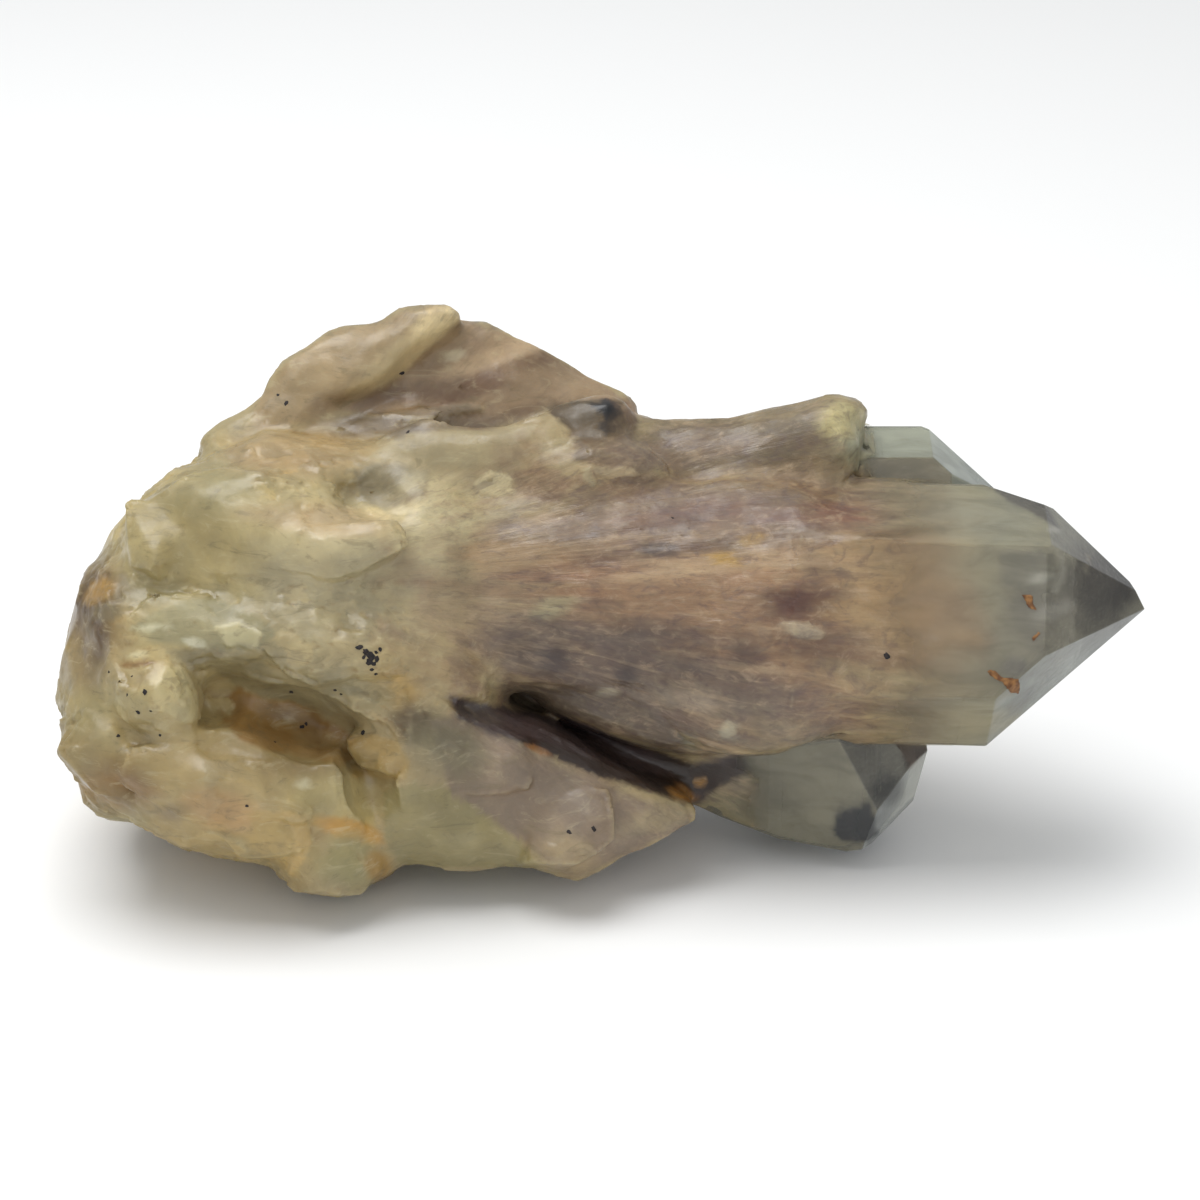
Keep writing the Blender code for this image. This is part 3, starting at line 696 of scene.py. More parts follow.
@dataclass(frozen=True)
class FacetCut:
    """One flat face: a point on it and its outward direction, both as shown."""

    point: Triple
    normal: Triple

    def plane(self) -> tuple[Vector, Vector]:
        """The face in metres, with the viewer on -Y."""
        return held(self.point), Vector((self.normal[0], -self.normal[2], self.normal[1])).normalized()


def held(spot: Triple) -> Vector:
    """A shown place in metres, with the viewer on -Y."""
    return Vector((spot[0], -spot[2], spot[1])) * MM


def held_points(shown: np.ndarray) -> np.ndarray:
    """Points in metres, with the viewer on -Y, of shown millimetres."""
    return np.stack((shown[:, 0], -shown[:, 2], shown[:, 1]), axis=1) * MM


def unheld(corners: np.ndarray) -> np.ndarray:
    """Shown millimetres of points in metres with the viewer on -Y."""
    return np.stack((corners[:, 0], corners[:, 2], -corners[:, 1]), axis=1) / MM


def mesh_corners(mesh: bpy.types.Mesh) -> np.ndarray:
    """Every vertex of a mesh, one a row."""
    corners = np.empty(len(mesh.vertices) * 3, np.float32)
    mesh.vertices.foreach_get("co", corners)
    return corners.reshape(-1, 3).astype(float)


def set_corners(mesh: bpy.types.Mesh, corners: np.ndarray) -> None:
    """Move every vertex of a mesh."""
    mesh.vertices.foreach_set("co", corners.astype(np.float32).ravel())
    mesh.update()


def dress(piece: Piece, material: Material) -> None:
    """Give a finished piece its material and let it ride on the specimen."""
    piece.data.materials.append(material)
    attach(piece, BODY)
    LOG.info("%s: %d faces", piece.name, len(piece.data.polygons))


@dataclass
class Gem:
    """A see-through crystal that stands out of the cloudy mass.

    Args:
        name: the piece's name.
        tip: the far end of its axis, as shown.
        skin: how far behind the tip the milky skin over it is gone, and how far it is whole.
        heart: how far behind the tip the milk inside is gone, and how far it is whole.
        root_tone: how far behind the tip its faces have their own colour, and how far the mass's.
        colour: display colour of its faces.
        facet_tones_with_painted_light: faces with a colour of their own, by their number: partly the faces'
            own tones, partly painted reflection (the pale bluish-grey faces) and painted shade (the lower
            crystal's dark top ledge).
    """

    name: str
    tip: Triple
    skin: Pair
    heart: Pair
    root_tone: Pair
    colour: str
    facet_tones_with_painted_light: dict[int, str]

    def planes(self) -> list[tuple[Vector, Vector]]:
        """Every face as a point and an outward direction, in metres, with the viewer on -Y."""
        raise NotImplementedError

    def blank(self) -> tuple[Vector, float]:
        """Middle and size of the block that the crystal is cut from."""
        raise NotImplementedError

    def axis(self) -> tuple[np.ndarray, np.ndarray]:
        """Tip and unit backward axis, as shown, in millimetres."""
        raise NotImplementedError

    def behind(self, shown: np.ndarray) -> np.ndarray:
        """How far each point lies behind the tip, along the axis."""
        tip, back = self.axis()
        return (shown - tip) @ back

    def outside(self, shown: np.ndarray) -> np.ndarray:
        """How far each point stands out of the crystal, in millimetres, negative inside."""
        points = held_points(shown)
        gaps = [(points - np.array(point)) @ np.array(normal) for point, normal in self.planes()]
        return np.max(gaps, axis=0) / MM

    def drawn(self, seen: np.ndarray, share: np.ndarray) -> np.ndarray:
        """Points drawn in to a share of their distance from the axis."""
        tip, back = self.axis()
        foot = tip + np.outer(self.behind(seen), back)
        return foot + (seen - foot) * share[:, None]

    def cut_block(self, name: str, planes: list[tuple[Vector, Vector]]) -> Piece:
        """Cut a block down to the space inside some planes."""
        deselect_all()
        middle, size = self.blank()
        bpy.ops.mesh.primitive_cube_add(size=size, location=middle)
        piece = bpy.context.active_object
        piece.name = name
        piece.data.name = name
        bpy.ops.object.transform_apply(location=True, rotation=True, scale=True)
        bpy.ops.object.mode_set(mode="EDIT")
        for point, normal in planes:
            self.bisect(point, normal, clear=True)
        bpy.ops.mesh.select_all(action="SELECT")
        bpy.ops.mesh.normals_make_consistent(inside=False)
        bpy.ops.object.mode_set(mode="OBJECT")
        return piece

    def hand_over(self, piece: Piece, shown: ShownFrame, material: Material) -> None:
        """Place a finished piece and dress it; it stands for the same crystal of the solid."""
        piece.data.transform(shown.matrix())
        dress(piece, material)
        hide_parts(NODE)

    def build(self, shown: ShownFrame, material: Material) -> Piece:
        """Model the crystal, place it and dress it.

        Args:
            shown: the shown frame.
            material: its finish.

        Returns:
            The finished piece.
        """
        piece = self.cut_block(self.name, self.planes())
        self.taper_root(piece)
        bevel = piece.modifiers.new("worn_edges", "BEVEL")
        bevel.width = WORN_EDGE_MM * MM
        bevel.segments = 2
        bevel.limit_method = "ANGLE"
        bevel.angle_limit = WORN_EDGE_ANGLE
        apply_all(piece)
        self.score(piece)
        self.colour_faces(piece)
        self.hand_over(piece, shown, material)
        return piece

    def taper_root(self, piece: Piece, narrowing: float = 0.16, run: float = 4.0) -> None:
        """Draw the crystal's hidden root in, so that it stays under the stone's skin.

        Args:
            piece: the crystal.
            narrowing: the share of its width that the root loses.
            run: the length over which it does, in millimetres.
        """
        tip, back = self.axis()
        start = self.skin[1]
        bpy.ops.object.mode_set(mode="EDIT")
        self.bisect(*FacetCut(tuple(tip + back * start), tuple(back)).plane(), clear=False)
        bpy.ops.object.mode_set(mode="OBJECT")
        seen = unheld(mesh_corners(piece.data))
        share = 1.0 - narrowing * smooth_step(start, start + run, self.behind(seen))
        set_corners(piece.data, held_points(self.drawn(seen, share)))

    def build_heart(self, shown: ShownFrame, material: Material, margin: float = 0.45,
                    narrowing: float = 0.2, fade_in: float = 3.0) -> None:
        """Model the milk inside the crystal.

        Args:
            shown: the shown frame.
            material: its finish.
            margin: how far it stays below the crystal's faces, in millimetres.
            narrowing: the share of its width that it loses towards the tip.
            fade_in: the length over which its front end appears, in millimetres.
        """
        tip, back = self.axis()
        planes = [(point - normal * margin * MM, normal) for point, normal in self.planes()]
        planes.append(FacetCut(tuple(tip + back * self.heart[0]), tuple(-back)).plane())
        piece = self.cut_block(f"{self.name}_heart", planes)
        self.score(piece, step=1.1)
        seen = unheld(mesh_corners(piece.data))
        behind = self.behind(seen)
        front, whole = self.heart
        share = 1.0 - narrowing * smooth_step(whole, front, behind)
        set_corners(piece.data, held_points(self.drawn(seen, share)))
        wander = ragged_noise(seen) * 0.25 * (whole - front)
        fade = smooth_step(front, whole, behind + wander)
        store(piece.data, "haze", "FLOAT", fade * smooth_step(front, front + fade_in, behind))
        store(piece.data, "growth", "FLOAT_VECTOR", self.growth(seen))
        self.hand_over(piece, shown, material)

    def growth(self, seen: np.ndarray) -> np.ndarray:
        """Growth coordinates: distance behind the tip and the place across the axis."""
        tip, back = self.axis()
        behind = self.behind(seen)
        aside = seen - tip - np.outer(behind, back)
        return np.stack((behind, aside[:, 1], aside[:, 2]), axis=1)

    def bisect(self, point: Vector, normal: Vector, clear: bool) -> None:
        """Cut the mesh in edit mode, and take away what lies outside if clear is set."""
        bpy.ops.mesh.select_all(action="SELECT")
        bpy.ops.mesh.bisect(
            plane_co=point, plane_no=normal, use_fill=clear, clear_outer=clear, threshold=CUT_TOLERANCE,
        )

    def score(self, piece: Piece, step: float = 0.7) -> None:
        """Divide the flat faces evenly, so that they can carry colour."""
        corners = mesh_corners(piece.data)
        low, high = corners.min(axis=0), corners.max(axis=0)
        bpy.ops.object.mode_set(mode="EDIT")
        for axis in range(3):
            normal = Vector((0.0, 0.0, 0.0))
            normal[axis] = 1.0
            for place in np.arange(low[axis] + step * MM / 2, high[axis], step * MM):
                self.bisect(normal * float(place), normal, clear=False)
        bpy.ops.object.mode_set(mode="OBJECT")

    def colour_faces(self, piece: Piece) -> None:
        """Store each face corner's colour, and the growth coordinates."""
        mesh = piece.data
        seen = unheld(mesh_corners(mesh))
        store(mesh, "growth", "FLOAT_VECTOR", self.growth(seen))
        wobble = ragged_noise(seen)
        fresh = np.array([self.face_colour(face.normal) for face in mesh.polygons])
        owners = np.empty(len(mesh.loops), np.int32)
        mesh.loops.foreach_get("vertex_index", owners)
        sizes = np.array([len(face.vertices) for face in mesh.polygons])
        tint = np.repeat(fresh, sizes, axis=0)
        tint = lay_patches(CRYSTAL_PATCHES, tint, seen[owners], wobble[owners])
        milky = lay_patches(PATCHES, plain_tint(len(seen)), seen, wobble)
        root = smooth_step(*self.root_tone, self.behind(seen) + 3.0 * wobble)[owners][:, None]
        tint = np.clip((tint * (1.0 - root) + milky[owners] * root) * GEM_LIGHT, 0.0, LIGHTEST_FACE)
        store(mesh, "tint", "FLOAT_COLOR", np.hstack((tint, np.ones((len(tint), 1)))), domain="CORNER")

    def face_colour(self, normal: Vector) -> Triple:
        """Linear colour of the face that looks along a direction, with the painted reflection or painted
        shade that some faces carry.
        """
        planes = self.planes()
        number = max(range(len(planes)), key=lambda index: planes[index][1].dot(normal))
        return linear(self.facet_tones_with_painted_light.get(number, self.colour))


@dataclass
class PrismGem(Gem):
    """A six-sided crystal with a six-faced tip.

    Args:
        length: from the tip to its hidden root.
        faces: distance of each prism face from the axis, the first one facing the viewer.
        tip_shift: how far each tip face stands forward.
        drop: how far the axis points down, in degrees.
        turn: how far the axis points away from the viewer, in degrees.
        cuts: further flat faces.
    """

    length: float = 30.0
    faces: tuple[float, ...] = (8.0,) * PRISM_SIDES
    tip_shift: tuple[float, ...] = (0.0,) * PRISM_SIDES
    drop: float = 0.0
    turn: float = 0.0
    cuts: tuple[FacetCut, ...] = ()

    def placing(self) -> Matrix:
        """Matrix from the crystal's own frame, long axis on Z, to the shown frame."""
        lay_down = Matrix(((0.0, 0.0, 1.0), (0.0, -1.0, 0.0), (1.0, 0.0, 0.0))).to_4x4()
        dropped = Matrix.Rotation(math.radians(self.drop), 4, "Y")
        turned = Matrix.Rotation(math.radians(self.turn), 4, "Z")
        return Matrix.Translation(held(self.tip)) @ dropped @ turned @ lay_down

    def axis(self) -> tuple[np.ndarray, np.ndarray]:
        """Tip and unit backward axis, as shown, in millimetres."""
        back = self.placing().to_3x3() @ Vector((0.0, 0.0, -1.0))
        return np.array(self.tip), np.array((back.x, back.z, -back.y))

    def blank(self) -> tuple[Vector, float]:
        """Middle and size of the block that the crystal is cut from."""
        return self.placing() @ Vector((0.0, 0.0, -self.length * MM / 2.0)), 4.0 * self.length * MM

    def planes(self) -> list[tuple[Vector, Vector]]:
        """Prism and tip faces in turn, then the root and the further cuts."""
        placing = self.placing()
        turned = placing.to_3x3()
        slope = Vector((0.0, 0.0, math.sin(TIP_FACE_ANGLE)))
        found = []
        for side in range(PRISM_SIDES):
            angle = 2.0 * math.pi * side / PRISM_SIDES
            outward = Vector((math.sin(angle), math.cos(angle), 0.0))
            found.append((placing @ (outward * self.faces[side] * MM), turned @ outward))
            tip_normal = outward * math.cos(TIP_FACE_ANGLE) + slope
            found.append((placing @ Vector((0.0, 0.0, self.tip_shift[side] * MM)), turned @ tip_normal))
        found.append((placing @ Vector((0.0, 0.0, -self.length * MM)), turned @ Vector((0.0, 0.0, -1.0))))
        return found + [cut.plane() for cut in self.cuts]


@dataclass
class CornerGem(Gem):
    """A crystal whose flat faces each go through three named corners.

    Args:
        back: where its axis runs, as shown, one unit long.
        heart_spot: a place inside it, as shown.
        size: side of the block that it is cut from, in millimetres.
        corners: named places, as shown.
        faces: the three corners of each face.
        root: the plane at which its hidden root ends.
    """

    back: Triple = (-1.0, 0.0, 0.0)
    heart_spot: Triple = (0.0, 0.0, 0.0)
    size: float = 40.0
    corners: dict[str, Triple] = field(default_factory=dict)
    faces: tuple[tuple[str, str, str], ...] = ()
    root: FacetCut = FacetCut((0.0, 0.0, 0.0), (-1.0, 0.0, 0.0))

    def axis(self) -> tuple[np.ndarray, np.ndarray]:
        """Tip and unit backward axis, as shown, in millimetres."""
        return np.array(self.tip), np.array(self.back)

    def blank(self) -> tuple[Vector, float]:
        """Middle and size of the block that the crystal is cut from."""
        return held(self.heart_spot), self.size * MM

    def planes(self) -> list[tuple[Vector, Vector]]:
        """The faces in their order, then the root."""
        found = []
        for names in self.faces:
            first, second, third = (held(self.corners[name]) for name in names)
            normal = (second - first).cross(third - first).normalized()
            if normal.dot(held(self.heart_spot) - first) > 0.0:
                normal.negate()
            found.append((first, normal))
        return found + [self.root.plane()]


def store(mesh: bpy.types.Mesh, name: str, kind: str, values: np.ndarray, domain: str = "POINT") -> None:
    """Keep a value for each vertex or face corner on a mesh."""
    attribute = mesh.attributes.new(name, kind, domain)
    label = {"FLOAT": "value", "FLOAT_VECTOR": "vector", "FLOAT_COLOR": "color"}[kind]
    attribute.data.foreach_set(label, np.ascontiguousarray(values, dtype=np.float32).ravel())


def kept(mesh: bpy.types.Mesh, name: str) -> np.ndarray:
    """Numbers kept for each vertex of a mesh."""
    values = np.empty(len(mesh.vertices), np.float32)
    mesh.attributes[name].data.foreach_get("value", values)
    return values.astype(float)


def ragged_noise(shown: np.ndarray) -> np.ndarray:
    """A noise value at each point, from about -1 to 1, that makes edges ragged."""
    wobble = np.zeros(len(shown))
    for index, spot in enumerate(shown):
        point = Vector(spot)
        for height, rate in ((1.0, 0.16), (0.6, 0.45), (0.35, 1.1)):
            wobble[index] += height * noise.noise(point * rate)
    return wobble


def stretched(spot: np.ndarray, rates: Triple) -> Vector:
    """A place with each part multiplied."""
    return Vector((spot[0] * rates[0], spot[1] * rates[1], spot[2] * rates[2]))


def streak_noise(grain: np.ndarray) -> np.ndarray:
    """A noise value at each point, drawn out along the streaks."""
    wobble = np.empty(len(grain))
    for index, spot in enumerate(grain):
        broad = noise.noise(stretched(spot, BROAD_STREAKS))
        fine = noise.noise(stretched(spot, FINE_STREAKS))
        wobble[index] = 1.2 * broad + 0.6 * fine
    return wobble


def scoops(place: Vector) -> Triple:
    """Shallow shell-shaped scars, each tilted its own way, that meet in crisp edges.

    Args:
        place: where, in units of one scar's width.

    Returns:
        The height, how far the nearest edge is, both in scar widths, and the scar's own tone.
    """
    gaps, hearts = noise.voronoi(place)
    found = []
    for gap, heart in zip(gaps, hearts):
        tilt = noise.cell_vector(heart * 7.3) * 2.0 - Vector((1.0, 1.0, 1.0))
        found.append((0.45 * gap * gap + 0.42 * (place - heart).dot(tilt), tilt.x + tilt.z))
    found.sort()
    return found[0][0], found[1][0] - found[0][0], 0.5 * found[0][1]


def flakes(place: Vector) -> tuple[float, float, float, float]:
    """Thin ragged layers that have flaked off, each ending in a crisp edge.

    Args:
        place: where, in units of a layer's usual width.

    Returns:
        The height in layers, how close the layer's lip is, how close its foot is, and its tone.
    """
    level = 2.6 * noise.fractal(place, 0.9, 2.1, 5)
    layer = math.floor(level)
    rest = level - layer
    rise = min(1.0, rest / 0.14)
    lip = max(0.0, 1.0 - abs(rest - 0.16) / 0.07)
    foot = max(0.0, 1.0 - rest / 0.06, 1.0 - (1.0 - rest) / 0.04)
    return rise * rise * (3.0 - 2.0 * rise) - rest - 0.36, lip, foot, math.sin(2.4 * layer)


class Depth(Enum):
    """Which part of the specimen a patch of colour shows on."""

    THROUGH = "through"
    FRONT = "front"

    def share(self, out: np.ndarray) -> np.ndarray:
        """Share of a patch at points that lie so far out towards the viewer."""
        return smooth_step(*FRONT_FADE_MM, out) if self is Depth.FRONT else np.ones(len(out))


def photo_pixels(shown: np.ndarray) -> np.ndarray:
    """Pixel of the photograph at which each point shows, one a row."""
    scale = PIXELS_PER_MM * CAMERA_DISTANCE_MM / (CAMERA_DISTANCE_MM - shown[:, 2])
    half = PHOTO_PIXELS / 2.0
    return np.stack((half + shown[:, 0] * scale, half - shown[:, 1] * scale), axis=1)


@dataclass(frozen=True)
class Patch:
    """A named oval patch, placed in pixels of the photograph.

    Args:
        name: what it is on the stone.
        pixel: its middle.
        reach: its half width and half height in pixels.
        colour: display colour code, or nothing where the patch only says how rough the stone is.
        strength: how much of it covers what is below.
        turn: tilt in degrees, positive when its right end is lower.
        softness: share of the reach over which it fades.
        depth: the side that it shows on.
    """

    name: str
    pixel: Pair
    reach: Pair
    colour: str = ""
    strength: float = 0.85
    turn: float = 0.0
    softness: float = 0.5
    depth: Depth = Depth.FRONT

    def weight(self, spots: np.ndarray, out: np.ndarray, wobble: np.ndarray) -> np.ndarray:
        """Share of this patch at each point.

        Args:
            spots: the points' pixels.
            out: how far out each point lies.
            wobble: a noise value for each point that makes the patch's edge ragged.

        Returns:
            A share from 0 to its strength.
        """
        across, down = (spots - np.array(self.pixel)).T
        angle = math.radians(self.turn)
        along = across * math.cos(angle) + down * math.sin(angle)
        aside = down * math.cos(angle) - across * math.sin(angle)
        gap = np.hypot(along / self.reach[0], aside / self.reach[1]) + 0.35 * wobble
        share = smooth_step(1.0 + self.softness, 1.0 - self.softness, gap)
        return share * self.depth.share(out) * self.strength


@dataclass(frozen=True)
class Outline:
    """A named patch of colour with an outline of its own, in pixels of the photograph.

    Args:
        name: what it is on the stone.
        corners: its corners in order.
        colour: display colour code.
        strength: how much of it covers what is below.
        edge: how many pixels it fades over.
        ragged: how many pixels its edge wanders.
        depth: the side that it shows on.
    """

    name: str
    corners: tuple[Pair, ...]
    colour: str
    strength: float = 0.8
    edge: float = 6.0
    ragged: float = 4.0
    depth: Depth = Depth.FRONT

    def weight(self, spots: np.ndarray, out: np.ndarray, wobble: np.ndarray) -> np.ndarray:
        """Share of this patch at each point, with the same arguments as an oval's."""
        nearest = np.full(len(spots), np.inf)
        inside = np.zeros(len(spots), bool)
        corners = np.array(self.corners, float)
        for start, end in zip(corners, np.roll(corners, -1, axis=0)):
            run = end - start
            share = np.clip((spots - start) @ run / (run @ run), 0.0, 1.0)
            nearest = np.minimum(nearest, np.linalg.norm(spots - start - share[:, None] * run, axis=1))
            beside = (start[1] > spots[:, 1]) != (end[1] > spots[:, 1])
            rise = run[1] if run[1] else 1.0
            inside ^= beside & (spots[:, 0] < start[0] + (spots[:, 1] - start[1]) * run[0] / rise)
        gap = np.where(inside, -nearest, nearest) + self.ragged * wobble
        return smooth_step(self.edge / 2.0, -self.edge / 2.0, gap) * self.depth.share(out) * self.strength


def plain_tint(count: int) -> np.ndarray:
    """The stone's base colour, once for each point."""
    return np.tile(np.array(linear(BASE_COLOUR)), (count, 1))


def lay_patches(patches: tuple, tint: np.ndarray, shown: np.ndarray, wobble: np.ndarray) -> np.ndarray:
    """Colours with every patch laid over them in order.

    Args:
        patches: ovals and outlines.
        tint: linear colours, one a row.
        shown: the points they belong to, as x, up, out.
        wobble: the noise that makes edges ragged.

    Returns:
        The new linear colours.
    """
    spots = photo_pixels(shown)
    for patch in patches:
        share = patch.weight(spots, shown[:, 2], wobble)[:, None]
        tint = tint * (1.0 - share) + np.array(linear(patch.colour)) * share
    return tint


BASE_COLOUR = "a09275"

